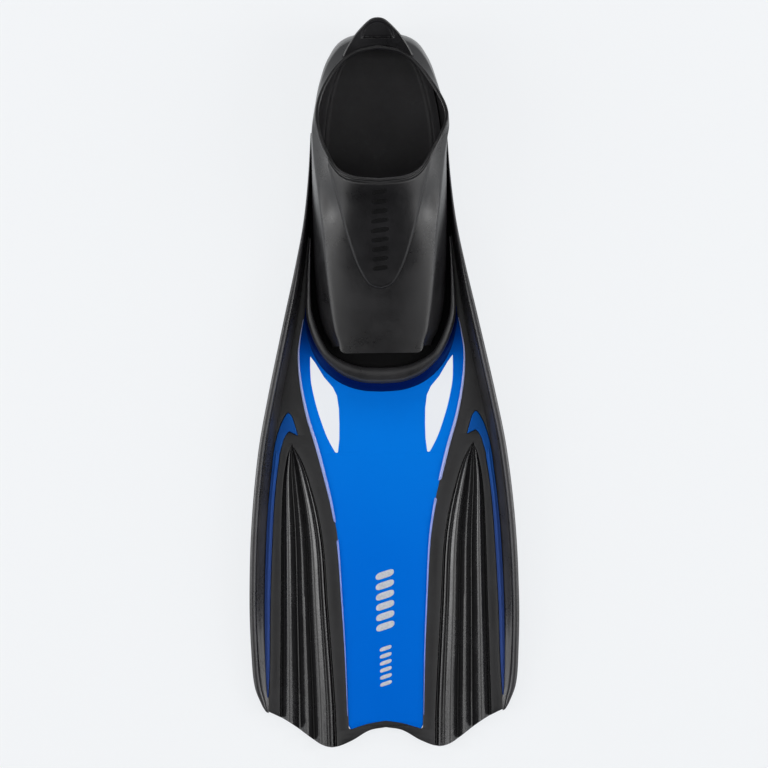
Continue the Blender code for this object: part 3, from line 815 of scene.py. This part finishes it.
def build_sole(size):
    """The outsole and its two tread pads of cross bars."""
    bm = plate(sole_outline(0.4), lambda y: 5.6, lambda y: 1.9, steps(40, 280, 12))
    obj = place("outsole", bm, finish("outsole_rubber"))
    soften(obj, 1.0, 3, SOFT_CRISP)
    ride_pocket(obj, "sole_rubber", "sole")
    for name, half_width, start, end, bars in (("ball", 40, 45, 130, 7), ("heel", 28, 222, 272, 4)):
        pitch = (end - start) / (2 * bars - 1)
        pads = [tread_base(half_width, start, end)]
        for i in range(bars):
            back = start + 2 * i * pitch
            inset = 0.08 * half_width * ((2 * i / (bars - 1) - 1) ** 2)
            pads.append(tread_bar(half_width - inset, back, back + pitch, size.tread_sweep / MM))
        pad = place(name + "_grip", join(*pads), finish("outsole_rubber"))
        soften(pad, 0.3, 2, SOFT_CRISP)
        ride_pocket(pad, "sole_rubber", name + "_tread")


def tread_base(half_width, start, end):
    """The pad that a tread's bars stand on, with round corners."""
    corner = 6
    side, low, high = half_width - corner, start + corner, end - corner
    outline = []
    for turn, (x, y) in enumerate(((side, high), (-side, high), (-side, low), (side, low))):
        for angle in steps(math.pi / 2 * turn, math.pi / 2 * (turn + 1), 4):
            outline.append((x + corner * math.cos(angle), y + corner * math.sin(angle)))
    return plate(outline, lambda y: 2.2, lambda y: 1.0, [])


def tread_bar(half_width, start, end, sweep):
    """A bar across the sole, swept forward in the middle."""
    sections = []
    top = 1.4
    for x in steps(-half_width, half_width, 24):
        bow = sweep * (math.cos(math.pi * x / half_width / 2) - 0.5)
        low = 0.0 if abs(x) < half_width - 0.1 else 0.3
        heel, toe = end + bow, start + bow
        sections.append([(x, toe, top), (x, toe, low), (x, heel, low), (x, heel, top)])
    return loft(sections)


def build_heel_tab(size):
    """The pull tab that grows out of the ankle rim, with its blind D recess."""
    reach, thick = 30.0, 4.2
    rim_line = smooth((0, 286.2), (8, 285.6), (19, 282), (26, 278.4), (reach, 275.6))
    rim_level = smooth((0, 66), (19, 65), (reach, 63.4))
    back_line = smooth(
        (0, 310), (3, 309.7), (6.5, 308.3), (10.6, 305), (15, 300.6), (19.5, 295.5), (25, 287.2),
        (reach, 278.6)
    )

    def edge(x, y):
        lean = back_line(abs(x) + 0.5) - back_line(abs(abs(x) - 0.5))
        return min((back_line(abs(x)) - y) / math.hypot(1, lean), (y - rim_line(abs(x))) * 0.95 + 0.4)

    def recess(x, y):
        front, half_width, long = 293, 13.2, 13.6
        arch = (1 - math.hypot(x / half_width, (y - front) / long)) * 12
        return size.tab_recess / MM * ease(-0.5, 0.8, min(y - front, arch))

    def outside(across, along):
        x = reach * math.sin(math.pi / 2 * (2 * across - 1))
        y = mix(rim_line(abs(x)), back_line(abs(x)), 0.5 - 0.5 * math.cos(math.pi * along))
        past = y - rim_line(abs(x))
        slope = 0.72 * (math.sqrt(past**2 + 9) - 3)
        return (x, y, rim_level(abs(x)) + slope + 0.9 - round_over(edge(x, y), thick / 2) - recess(x, y))

    def depth(x, y):
        return max(0.3, thick - 2 * round_over(edge(x, y), thick / 2) - recess(x, y))

    bm = thicken_down(sheet(96, 72, outside), depth)
    obj = place("heel_tab_loop", bm, finish("skin_rubber"), SOFT_CRISP)
    _, y, z = TAB_JOINT["pos_m"]
    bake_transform(obj)
    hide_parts("heel_pull_tab")


# ------------------------------------------------------------------ blade pieces


def both_ways(y_start, y_end, edge):
    """Points along an edge line, at every station and at both ends."""
    return [(edge(y), y) for y in [y_start, *stations(y_start, y_end), y_end]]


def along_tip(start, end):
    """Points along the tip's wavy edge between two half widths."""
    return [(x, tip_edge(x)) for x in steps(start, end, max(4, round(abs(end - start) / 2)))]


def vent_outline():
    """The left vent, which is pointed at both ends."""
    tip, inner, outer = (60.8, 24), [(56.4, 18), (49.2, 6), (41.9, -2.6), (38.4, -10)], (38.2, -58.6)
    waist = [(36.9, -21), (36.6, -34), (36.8, -47)]
    back = [(40.3, -58.4), (45.4, -49), (49.6, -39), (55.4, -21), (58.8, -6.5), (60.4, 3), (60.9, 14)]
    return [tip, *inner, *waist, outer, *through(back, 24)]


def build_core(size):
    """The stiff blue core, from the tip to under the foot, with its horns, vents and underside ribs."""
    edge = both_ways(-291, 58, lambda y: panel_half(y) + TUCK)
    shank = [
        (63.2, 62), (60, 72), (57, 84), (56, 98), (42, 112), (41.5, 200), (39, 236), (31, 258), (20, 268),
    ]
    arch = [(x, panel_end(x) - TUCK) for x in steps(0, 30, 15)]
    half = arch + edge + shank
    bm = plate(half + [(0, 270)] + mirrored(half[-1:0:-1], -1), core_top, core_bottom)
    obj = place("core_plate", bm, finish("core_polymer"))
    for _, sign in SIDES:
        carve(obj, plate(mirrored(vent_outline(), sign), lambda y: ABOVE, lambda y: BELOW, []))
    soften(obj, 0.7, 3, SOFT_CRISP)
    bend_with_blade(obj)
    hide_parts("core_root", "blade_panel")

    ribs, fade = [], 24
    for x, start, end in ((0, -262, -8), (-19, -250, -30), (19, -250, -30)):
        sections = []
        for y in steps(start, end, 60):
            deep = size.rib_depth / MM * min(1, (y - start) / fade + 0.05, (end - y) / fade + 0.05)
            low = core_bottom(y) - deep * mix(0.8, 1, ease(-277, -100, y))
            high = core_bottom(y) + 0.8
            wide = 1.9 if x == 0 else 1.5
            sections.append([
                (x - wide, y, high), (x - wide * 0.75, y, mix(high, low, 0.8)), (x - wide * 0.4, y, low),
                (x + wide * 0.4, y, low), (x + wide * 0.75, y, mix(high, low, 0.8)), (x + wide, y, high),
            ])
        ribs.append(loft(sections))
    under = place("core_ribs", join(*ribs), finish("core_polymer"), SOFT_CRISP)
    bend_with_blade(under)


COVE = ((-0.25, 3.4), (0, 3.0), (0.2, 1.9), (0.42, 1.1), (0.66, 0.5), (0.86, 0.16), (1, 0.03))


def build_core_shoulder(size):
    """The cove where the core rises under the toe bow, in a near-black blue that paints shade."""
    wide, horn_end = size.shoulder_width / MM, 6.15
    sections = []
    for station in steps(-horn_end, horn_end, 110):
        sign = 1 if station >= 0 else -1
        outer, ahead = collar_outer(abs(station)), collar_outer(abs(station) + 0.04)
        inner = collar_inner(abs(station))
        run = (ahead[0] - outer[0], ahead[1] - outer[1])
        length = math.hypot(*run)
        out = (run[1] / length, -run[0] / length)
        reach = wide * (1 - 0.72 * ease(2.6, 6.1, abs(station)))
        section = []
        for step, rise in COVE:
            x, y = outer[0] + out[0] * reach * step, outer[1] + out[1] * reach * step
            section.append((sign * x, y, core_top(y) + rise * min(1, reach / 4)))
        x, y = section[-1][0], section[-1][1]
        section.append((x, y, core_top(y) - 1))
        section.append((sign * mix(inner[0], outer[0], 0.6), inner[1], core_top(inner[1]) - 1))
        sections.append(section)
    obj = place("core_shoulder_shade", loft(sections), finish("shoulder_painted_shade"), 60)
    ride_pocket(obj, "core_plastic")


def build_edge_lips(size):
    """The raised bead along each edge of the core, broken by one short gap; its pale colour is a painted
    highlight.
    """
    wide = smooth(
        (-286, 0.5), (-220, 1.0), (-134, 1.5), (-98, 2.0), (-60, 2.5), (-30, 2.2), (10, 1.6), (40, 1.0),
        (58, 0.5)
    )
    for side, sign in SIDES:
        high, low = (-83, -98) if sign > 0 else (-118, -133)
        parts = []
        for start, end in ((-285, low), (high, 57)):
            sections = []
            for y in steps(start, end, round((end - start) / 2)):
                taper = min(1, (y - start) / 3 + 0.12, (end - y) / 3 + 0.12)
                half = 0.62 * wide(y) * size.lip_scale
                middle = panel_half(y) + 0.9 - half * 0.6
                crown = core_top(y) + (0.35 + 0.9 * half) * taper
                section = [(sign * (middle + half), y, core_top(y) - 1)]
                for turn in steps(0, math.pi, 8):
                    rise = mix(core_top(y) - 0.2, crown + 0.25, math.sin(turn) ** 0.8)
                    section.append((sign * (middle + half * math.cos(turn)), y, rise))
                section.append((sign * (middle - half), y, core_top(y) - 1))
                sections.append(section)
            parts.append(loft(sections))
        obj = place(side + "_edge_lip", join(*parts), finish("lip_painted_highlight"), 60)
        bend_with_blade(obj)


def build_print(size):
    """Silver pad-printed bars on the panel, a large set and a small one."""
    bars = []
    for first, last, half_length, radius in ((-163, -207, 7.8, 3.0), (-226, -256, 5.0, 1.7)):
        for y in steps(first, last, 5):
            long = half_length * size.print_scale
            bars.append(pill(0.6, y, long, radius, lambda x, y: core_top(y), 0.14, 0.32))
    obj = place("silver_bars", join(*bars), finish("silver_ink"), SOFT_CRISP)
    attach(obj, "blade")


def batten_outline(grown):
    """The left batten and its hook, grown outwards a little for the groove round it."""
    outer = both_ways(-266, -60, lambda y: batten_outer(y) + grown)
    inner = both_ways(-60, -266, lambda y: batten_inner(y) - grown)
    hook = [(91.5, -50), (89.4, -42), (86.5, -34), (83.4, -28), (81.6, -25.2), (80, -24.2), (78.6, -25.2)]
    barb = [
        (76.7, -28.2), (74.6, -35), (72.2, -43.6), (75.6, -41.8), (79.7, -39.8), (82.3, -42.6), (84.6, -46.8),
    ]
    grow = (
        [(x + grown, y + grown * 0.5) for x, y in hook[:4]] + [(x, y + grown) for x, y in hook[4:]]
        + [(x - grown, y) for x, y in barb[:3]] + [(x, y - grown) for x, y in barb[3:]]
    )
    return [(batten_outer(-266) - 0.3, -267.4 - grown), *outer, *grow, *inner]


BATTEN_CROWN = ((1, -0.6), (1, -0.02), (0.45, 0.42), (0, 0.5), (-0.45, 0.42), (-1, -0.02), (-1, -0.6))


def build_battens(size):
    """The thin blue battens let into the outer frames, each with a hook at its head."""
    for side, sign in SIDES:
        proud = size.batten_proud / MM
        bm = plate(mirrored(batten_outline(0), sign), lambda y: core_top(y) + proud, core_bottom)
        obj = place(side + "_batten_inlay", bm, finish("batten_polymer"))
        soften(obj, 0.5, 3, SOFT_CRISP)
        bend_with_blade(obj)
        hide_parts(side + "_batten", side + "_batten_hook")

        sections, start, end, fade = [], -262, -56, 6
        for y in steps(start, end, 100):
            middle = mix(batten_inner(y), batten_outer(y), 0.5)
            taper = min(1, (y - start) / fade + 0.1, (end - y) / fade + 0.1)
            half = 0.24 * (batten_outer(y) - batten_inner(y)) * taper
            base = core_top(y) + proud
            crown = [(middle + half * across, y, base + lift) for across, lift in BATTEN_CROWN]
            sections.append(mirrored(crown, sign))
        ridge = place(side + "_batten_ridge", loft(sections), finish("batten_polymer"), SOFT_CRISP)
        bend_with_blade(ridge)


APEX_X, APEX_Y = 77.3, -50.8      # the point that a channel fans out from


def frame_outline():
    """Half of the rubber frame: tip trim, channel window, outer leg, heel arm, and back along the panel."""
    trim = along_tip(0, channel_inner(-309))
    channel_side = both_ways(-308.6, APEX_Y - 1.5, channel_inner)
    far_side = both_ways(APEX_Y - 1.5, -283, channel_outer)
    heel_side = both_ways(-278.5, 127, lambda y: rail_inner(y) + TUCK)
    arm = both_ways(125, 66, lambda y: arm_half(y) - 0.2)
    panel_side = both_ways(60, -293.5, panel_half)
    arch = [(x, panel_end(x)) for x in steps(30.5, 2, 14)]
    tip_outer = along_tip(90.4, rail_inner(-278.5))
    window = channel_side + [(APEX_X, APEX_Y)] + far_side
    half = trim + window + tip_outer + heel_side + arm + panel_side + arch
    return half + [(0, panel_end(0))] + mirrored(half[-1:0:-1], -1)


def build_frame(size):
    """The rubber frame moulded round the core, in one piece with the trim along the tip."""
    bm = plate(frame_outline(), frame_top, frame_bottom)
    obj = place("blade_frame", bm, finish("frame_rubber"))
    for _, sign in SIDES:
        carve(obj, plate(mirrored(batten_outline(0.45), sign), lambda y: ABOVE, lambda y: core_top(y) - 0.7))
    soften(obj, size.frame_rounding / MM, 2, SOFT_CRISP)
    bend_with_blade(obj)
    names = [side + part for side, _ in SIDES for part in ("_frame_root", "_inner_frame", "_outer_frame")]
    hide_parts("tip_trim", *names)


channel_wave = smooth(
    (0, 0), (0.035, -0.75), (0.075, 0.15), (0.11, 0.35), (0.15, -0.1), (0.2, 0.45), (0.27, 0.95),
    (0.34, 0.35),
    (0.4, -0.75), (0.46, 0.2), (0.51, 0.85), (0.57, 0.2), (0.645, -1), (0.72, -0.1), (0.8, 0.9),
    (0.86, 0.7),
    (0.93, -0.5), (0.965, -0.75), (1, 0),
)
CHANNEL_THICK = 1.9
SETTLING_TURNS = 10
channel_depth = smooth((-308, 3.5), (-185, 3.3), (-110, 2.8), (-75, 1.9), (-58, 1.0), (-50, 0.2))


def build_channels(size):
    """The soft fluted webs between the frames, which fan out from a point and let the blade cup."""
    for side, sign in SIDES:

        def outside(across, along):
            # The tip's edge depends on x and the window's sides on y, so the two settle in turns.
            y = APEX_Y
            for _ in range(SETTLING_TURNS):
                x = mix(channel_inner(y) - TUCK, channel_outer(y) + TUCK, across)
                y = mix(APEX_Y, tip_edge(x), along)
            x = mix(channel_inner(y) - TUCK, channel_outer(y) + TUCK, across)
            flute = channel_depth(y) * channel_wave(across) * size.flute_scale
            return (sign * x, y, core_top(y) + flute - 0.3)

        bm = thicken_down(sheet(72, 130, outside), lambda x, y: CHANNEL_THICK)
        obj = place(side + "_channel_web", bm, finish("flute_rubber"), 60)
        bend_with_blade(obj)
        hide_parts(side + "_channel")


def rail_section(y, sign, bead, close=1.0):
    """The rail's cross section: flat underside, upright outer wall, round top bead, sloping inner wall.

    It shrinks towards the outer foot as close falls from 1.
    """
    half, width, top, bottom = fin_half(y), rail_width(y) * close, rail_top(y), rail_bottom(y)
    half -= rail_width(y) - width
    foot = frame_top(y)
    top = mix(foot, top, close)
    bead = min(bead, 0.52 * width)
    crown = min(2.4, 0.35 * max(0, top - foot) + 0.35)
    profile = [
        (width, max(foot - FRAME_THICK, bottom + 0.2)), (0.6 * width, bottom + 0.1),
        (0.3 * width, bottom),
        (0.12 * width, bottom + 0.5), (0.03 * width, bottom + 1.6), (0, mix(bottom, top, 0.4)),
        (0.015 * width, mix(bottom, top, 0.7)),
    ]
    for turn in steps(0, math.pi, 9):
        profile.append((bead / 2 * (1 - math.cos(turn)), top - crown * (1 - math.sin(turn))))
    seam = min(0.9, 0.16 * (top - foot))
    profile += [(bead + 0.02 * width, top - crown - seam), (bead + 0.07 * width, top - crown - seam * 0.8)]
    start = bead + 0.09 * width
    for t in (0.1, 0.4, 0.7, 1):
        profile.append((mix(start, width, t), mix(top - crown - seam * 0.4, foot - 0.05, t ** 0.8)))
    return [(sign * (half - inward), y, z) for inward, z in profile]


RAIL_HEEL, RAIL_TIP, RAIL_NOSE = 214.5, -274, 6


def build_rails(size):
    """The tall side rails, from beside the heel to the blade's outer corners."""
    for side, sign in SIDES:
        bead = size.rail_bead / MM
        sections = [rail_section(y, sign, bead) for y in steps(RAIL_HEEL, RAIL_TIP, 140)]
        for turn in steps(0, math.pi / 2, 7)[1:]:
            y = RAIL_TIP - RAIL_NOSE * math.sin(turn)
            sections.append(rail_section(y, sign, bead, max(0.12, math.cos(turn))))
        obj = place(side + "_rail_beam", loft(sections), finish("rail_rubber"), 42)
        bend_with_blade(obj)
        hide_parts(side + "_rail_root", side + "_rail")


# ------------------------------------------------------------------ the studio


# Name, place, what it aims at, width and length, and brightness.
LIGHTS = (
    ("soft_overhead", (0.0, 0.35, 2.6), (0.0, 0.1, 0.0), (0.8, 1.5), 0.75),
    ("soft_left", (-1.45, -0.6, 1.5), (0.0, 0.05, 0.0), (0.7, 3.0), 2.3),
    ("soft_right", (1.45, -0.6, 1.5), (0.0, 0.05, 0.0), (0.7, 3.0), 2.3),
    ("rim_left", (-1.9, 0.1, 0.5), (0.0, 0.05, 0.03), (0.7, 2.6), 6.0),
    ("rim_right", (1.9, 0.1, 0.5), (0.0, 0.05, 0.03), (0.7, 2.6), 6.0),
    ("soft_heel", (0.0, 1.8, 1.0), (0.0, 0.1, 0.05), (1.4, 0.5), 5.0),
)
CAMERA_LENS = 440
CAMERA_PLACE = (0.0019, -0.0004, 8.02)
CAMERA_ROLL = -0.68
FLOOR_REACH = 30                  # metres from the middle to each side
# The studio's light weakens from low beside the fin to overhead, so the faces that look up stay dark.
SKY_LOW, SKY_HIGH = 1.7, 0.05
SKY_START, SKY_END = 0.02, 0.3


def build_stage():
    """A pale floor, soft boxes over and beside the fin, and the camera."""
    material, nodes, links, shader = new_material("stage_paper")
    coords = nodes.new("ShaderNodeTexCoord")
    fibres = noise(nodes, links, coords, 6, 3, 0.5)
    shader.inputs["Base Color"].default_value = (0.12, 0.122, 0.125, 1)
    shader.inputs["Roughness"].default_value = 0.9
    shader.inputs["Specular IOR Level"].default_value = 0.1
    shader.inputs["Emission Color"].default_value = (0.96, 0.98, 1.0, 1)
    shader.inputs["Emission Strength"].default_value = 0.8
    links.new(bump(nodes, links, fibres, 0.02, 0.001), shader.inputs["Normal"])
    bm = bmesh.new()
    bmesh.ops.create_grid(bm, x_segments=8, y_segments=8, size=FLOOR_REACH)
    mesh = bpy.data.meshes.new("stage_floor")
    bm.to_mesh(mesh)
    bm.free()
    mesh.materials.append(material)
    floor = bpy.data.objects.new("stage_floor", mesh)
    bpy.context.scene.collection.objects.link(floor)

    world = bpy.data.worlds.new("studio")
    world.use_nodes = True
    nodes, links = world.node_tree.nodes, world.node_tree.links
    sky = nodes["Background"]
    sky.inputs["Color"].default_value = (0.95, 0.97, 1.0, 1)
    coords, axes = nodes.new("ShaderNodeTexCoord"), nodes.new("ShaderNodeSeparateXYZ")
    links.new(coords.outputs["Generated"], axes.inputs["Vector"])
    strength = ramp(nodes, links, axes.outputs["Z"], SKY_LOW, SKY_HIGH, SKY_START, SKY_END)
    links.new(strength, sky.inputs["Strength"])
    bpy.context.scene.world = world
    bpy.context.scene.view_settings.view_transform = "Standard"

    for light in LIGHTS:
        softbox(*light)

    view = bpy.data.cameras.new("camera")
    view.lens = CAMERA_LENS
    view.sensor_width = 36
    view.clip_end = 100
    camera = bpy.data.objects.new("camera", view)
    camera.location = CAMERA_PLACE
    camera.rotation_euler = (0, 0, math.radians(CAMERA_ROLL))
    bpy.context.scene.collection.objects.link(camera)
    bpy.context.scene.camera = camera


def softbox(name, place_at, aim, size, radiance):
    """A rectangular light that looks as bright as radiance from where it aims."""
    light = bpy.data.lights.new(name, "AREA")
    light.shape = "RECTANGLE"
    light.size, light.size_y = size
    light.energy = radiance * math.pi * size[0] * size[1]
    obj = bpy.data.objects.new(name, light)
    obj.location = place_at
    obj.rotation_euler = (Vector(place_at) - Vector(aim)).to_track_quat("Z", "Y").to_euler()
    obj.visible_camera = False
    bpy.context.scene.collection.objects.link(obj)


# ------------------------------------------------------------------ settings, operators and panel


def colour_setting(name, description, default):
    """A colour of the sidebar."""
    return bpy.props.FloatVectorProperty(
        name=name, description=description, default=default, size=3, min=0, max=1, subtype="COLOR"
    )


def length_setting(name, description, default):
    """A length of the sidebar, in metres."""
    return bpy.props.FloatProperty(
        name=name, description=description, default=default, min=0, max=0.1, precision=4, subtype="DISTANCE",
        unit="LENGTH",
    )


def factor_setting(name, description, default):
    """A factor of the sidebar, 1 as drawn."""
    return bpy.props.FloatProperty(
        name=name, description=description, default=default, min=0.2, max=2, subtype="FACTOR"
    )


class FinLook(bpy.types.PropertyGroup):
    """Colours of the fin's materials"""

    pocket: colour_setting("Pocket", "Soft rubber of the foot pocket and heel tab", (0.0055, 0.0052, 0.006))
    insole: colour_setting("Insole", "Rubber under the foot", (0.024, 0.023, 0.025))
    # This colour also paints shade on the toe slot's liner and the skirt.
    mark: colour_setting("Grip bars", "Bars on the instep pad", (0.0016, 0.0016, 0.0018))
    collar: colour_setting("Toe bow", "Rubber bow round the toe", (0.022, 0.0215, 0.023))
    frame: colour_setting("Frame", "Rubber frame round the core", (0.011, 0.0108, 0.0118))
    rail: colour_setting("Rails", "Rubber of the side rails", (0.016, 0.0155, 0.0175))
    channel: colour_setting("Channels", "Soft fluted webs", (0.007, 0.0068, 0.0078))
    sole: colour_setting("Sole", "Outsole and treads", (0.018, 0.018, 0.019))
    core_low: colour_setting("Core at the tip", "Blue polymer near the tip", (0.0, 0.118, 0.6))
    core_middle: colour_setting("Core", "Blue polymer of the panel", (0.0, 0.135, 0.66))
    # Painted light: the core is lighter between the vents.
    core_painted_vent_light: colour_setting("Core at the vents", "Blue polymer between the vents", (0.001, 0.175, 0.72))
    # Painted shade: the core darkens towards its horns and the toe bow.
    core_painted_horn_shade: colour_setting("Core beside the toe", "Blue at the root of the horns", (0.0, 0.07, 0.47))
    core_painted_collar_shade: colour_setting("Core at the horns", "Blue where it meets the toe bow", (0.0, 0.006, 0.075))
    batten_low: colour_setting("Batten", "Blue of the battens", (0.024, 0.044, 0.16))
    batten_high: colour_setting("Batten hook", "Blue of the battens' hooks", (0.001, 0.075, 0.33))
    # Painted highlight: the two lip colours stand in for light on the bead's edge.
    lip_highlight_tip: colour_setting("Lip at the tip", "Pale bead along the core's edge", (0.12, 0.2, 0.6))
    lip_highlight_vents: colour_setting("Lip at the vents", "Pale bead beside the vents", (0.38, 0.43, 0.74))
    ink: colour_setting("Print", "Silver printed bars", (0.62, 0.65, 0.7))


class FinSizes(bpy.types.PropertyGroup):
    """Sizes of the fin's details"""

    pocket_wall: length_setting("Pocket wall", "Thickness of the foot pocket", 0.003)
    rim_radius: length_setting("Rim radius", "Radius of the rolled edge round the ankle opening", 0.0018)
    grip_bar: length_setting("Grip bar", "Length of the longest bar on the instep", 0.0155)
    collar_height: length_setting("Toe bow height", "Top of the toe bow above the floor", 0.02)
    tread_sweep: length_setting("Tread sweep", "How far the middle of a tread bar is swept forward", 0.003)
    tab_recess: length_setting("Tab recess", "Depth of the pull tab's finger recess", 0.0024)
    rib_depth: length_setting("Rib depth", "Depth of the ribs under the core", 0.0022)
    shoulder_width: length_setting("Shoulder width", "Width of the cove in front of the toe bow", 0.0066)
    batten_proud: length_setting("Batten height", "How far a batten stands above the core", 0.0012)
    frame_rounding: length_setting("Frame rounding", "Radius of the frame's edges", 0.0006)
    rail_bead: length_setting("Rail bead", "Width of the round bead on a rail", 0.0055)
    flute_scale: factor_setting("Flutes", "Depth of the channels' flutes", 1.0)
    lip_scale: factor_setting("Lip", "Width of the bead along the core's edge", 1.0)
    print_scale: factor_setting("Print", "Length of the printed bars", 1.0)


class FIN_OT_pocket_shell(bpy.types.Operator):
    """Model the foot pocket's skin"""

    bl_idname = "fin.pocket_shell"
    bl_label = "Pocket Shell"
    bl_options = {"REGISTER", "UNDO"}

    def execute(self, context):
        build_pocket_shell(context.scene.fin_sizes)
        return {"FINISHED"}


class FIN_OT_rolled_rim(bpy.types.Operator):
    """Model the rolled edge of the ankle opening"""

    bl_idname = "fin.rolled_rim"
    bl_label = "Rolled Rim"
    bl_options = {"REGISTER", "UNDO"}

    def execute(self, context):
        build_rolled_rim(context.scene.fin_sizes)
        return {"FINISHED"}


class FIN_OT_instep_pad(bpy.types.Operator):
    """Model the raised instep pad and its grip bars"""

    bl_idname = "fin.instep_pad"
    bl_label = "Instep Pad"
    bl_options = {"REGISTER", "UNDO"}

    def execute(self, context):
        build_instep_pad(context.scene.fin_sizes)
        return {"FINISHED"}


class FIN_OT_toe_collar(bpy.types.Operator):
    """Model the rubber bow round the toe and the skirt inside it"""

    bl_idname = "fin.toe_collar"
    bl_label = "Toe Bow"
    bl_options = {"REGISTER", "UNDO"}

    def execute(self, context):
        build_toe_collar(context.scene.fin_sizes)
        build_skirt()
        return {"FINISHED"}


class FIN_OT_footbed(bpy.types.Operator):
    """Model the dished insole"""

    bl_idname = "fin.footbed"
    bl_label = "Insole"
    bl_options = {"REGISTER", "UNDO"}

    def execute(self, context):
        build_footbed()
        return {"FINISHED"}


class FIN_OT_sole(bpy.types.Operator):
    """Model the outsole and its two treads"""

    bl_idname = "fin.sole"
    bl_label = "Sole and Treads"
    bl_options = {"REGISTER", "UNDO"}

    def execute(self, context):
        build_sole(context.scene.fin_sizes)
        return {"FINISHED"}


class FIN_OT_heel_tab(bpy.types.Operator):
    """Model the heel's pull tab"""

    bl_idname = "fin.heel_tab"
    bl_label = "Heel Tab"
    bl_options = {"REGISTER", "UNDO"}

    def execute(self, context):
        build_heel_tab(context.scene.fin_sizes)
        return {"FINISHED"}


class FIN_OT_core(bpy.types.Operator):
    """Model the blue core, its vents and its ribs"""

    bl_idname = "fin.core"
    bl_label = "Core"
    bl_options = {"REGISTER", "UNDO"}

    def execute(self, context):
        build_core(context.scene.fin_sizes)
        return {"FINISHED"}


class FIN_OT_core_shoulder(bpy.types.Operator):
    """Model the cove where the core meets the toe bow, in a near-black blue that paints shade"""

    bl_idname = "fin.core_shoulder"
    bl_label = "Core Shoulder"
    bl_options = {"REGISTER", "UNDO"}

    def execute(self, context):
        build_core_shoulder(context.scene.fin_sizes)
        return {"FINISHED"}


class FIN_OT_edge_lips(bpy.types.Operator):
    """Model the pale beads along the core's edges"""

    bl_idname = "fin.edge_lips"
    bl_label = "Edge Lips"
    bl_options = {"REGISTER", "UNDO"}

    def execute(self, context):
        build_edge_lips(context.scene.fin_sizes)
        return {"FINISHED"}


class FIN_OT_print(bpy.types.Operator):
    """Model the silver bars printed on the panel"""

    bl_idname = "fin.print"
    bl_label = "Silver Bars"
    bl_options = {"REGISTER", "UNDO"}

    def execute(self, context):
        build_print(context.scene.fin_sizes)
        return {"FINISHED"}


class FIN_OT_battens(bpy.types.Operator):
    """Model the two battens and their hooks"""

    bl_idname = "fin.battens"
    bl_label = "Battens"
    bl_options = {"REGISTER", "UNDO"}

    def execute(self, context):
        build_battens(context.scene.fin_sizes)
        return {"FINISHED"}


class FIN_OT_frame(bpy.types.Operator):
    """Model the rubber frame and tip trim"""

    bl_idname = "fin.frame"
    bl_label = "Frame"
    bl_options = {"REGISTER", "UNDO"}

    def execute(self, context):
        build_frame(context.scene.fin_sizes)
        return {"FINISHED"}


class FIN_OT_channels(bpy.types.Operator):
    """Model the two fluted webs"""

    bl_idname = "fin.channels"
    bl_label = "Channels"
    bl_options = {"REGISTER", "UNDO"}

    def execute(self, context):
        build_channels(context.scene.fin_sizes)
        return {"FINISHED"}


class FIN_OT_rails(bpy.types.Operator):
    """Model the two side rails"""

    bl_idname = "fin.rails"
    bl_label = "Rails"
    bl_options = {"REGISTER", "UNDO"}

    def execute(self, context):
        build_rails(context.scene.fin_sizes)
        return {"FINISHED"}


class FIN_OT_stage(bpy.types.Operator):
    """Set out the floor, the lights and the camera"""

    bl_idname = "fin.stage"
    bl_label = "Studio"

    def execute(self, context):
        build_stage()
        return {"FINISHED"}


OPERATORS = (
    FIN_OT_pocket_shell, FIN_OT_rolled_rim, FIN_OT_instep_pad, FIN_OT_toe_collar, FIN_OT_footbed, FIN_OT_sole,
    FIN_OT_heel_tab, FIN_OT_core, FIN_OT_core_shoulder, FIN_OT_edge_lips, FIN_OT_print, FIN_OT_battens,
    FIN_OT_frame, FIN_OT_channels, FIN_OT_rails, FIN_OT_stage,
)


class FIN_PT_panel(bpy.types.Panel):
    """Sizes, colours and pieces of the swim fin"""

    bl_idname = "FIN_PT_panel"
    bl_label = "Swim Fin"
    bl_space_type = "VIEW_3D"
    bl_region_type = "UI"
    bl_category = "Swim Fin"

    def draw(self, context):
        for title, settings in (("Sizes", context.scene.fin_sizes), ("Colours", context.scene.fin_look)):
            box = self.layout.box()
            box.label(text=title)
            for name in settings.__annotations__:
                box.prop(settings, name)
        for operator in OPERATORS:
            self.layout.operator(operator.bl_idname)


CLASSES = (FinLook, FinSizes, *OPERATORS, FIN_PT_panel)


def register():
    """Registers the classes and the two groups of settings."""
    for cls in CLASSES:
        bpy.utils.register_class(cls)
    bpy.types.Scene.fin_look = bpy.props.PointerProperty(type=FinLook)
    bpy.types.Scene.fin_sizes = bpy.props.PointerProperty(type=FinSizes)


def unregister():
    """Undoes register."""
    del bpy.types.Scene.fin_sizes
    del bpy.types.Scene.fin_look
    for cls in reversed(CLASSES):
        bpy.utils.unregister_class(cls)


def main():
    """Runs every operator in order."""
    register()
    for operator in OPERATORS:
        group, name = operator.bl_idname.split(".")
        getattr(getattr(bpy.ops, group), name)()
    bpy.context.view_layer.update()


if __name__ == "__main__":
    main()
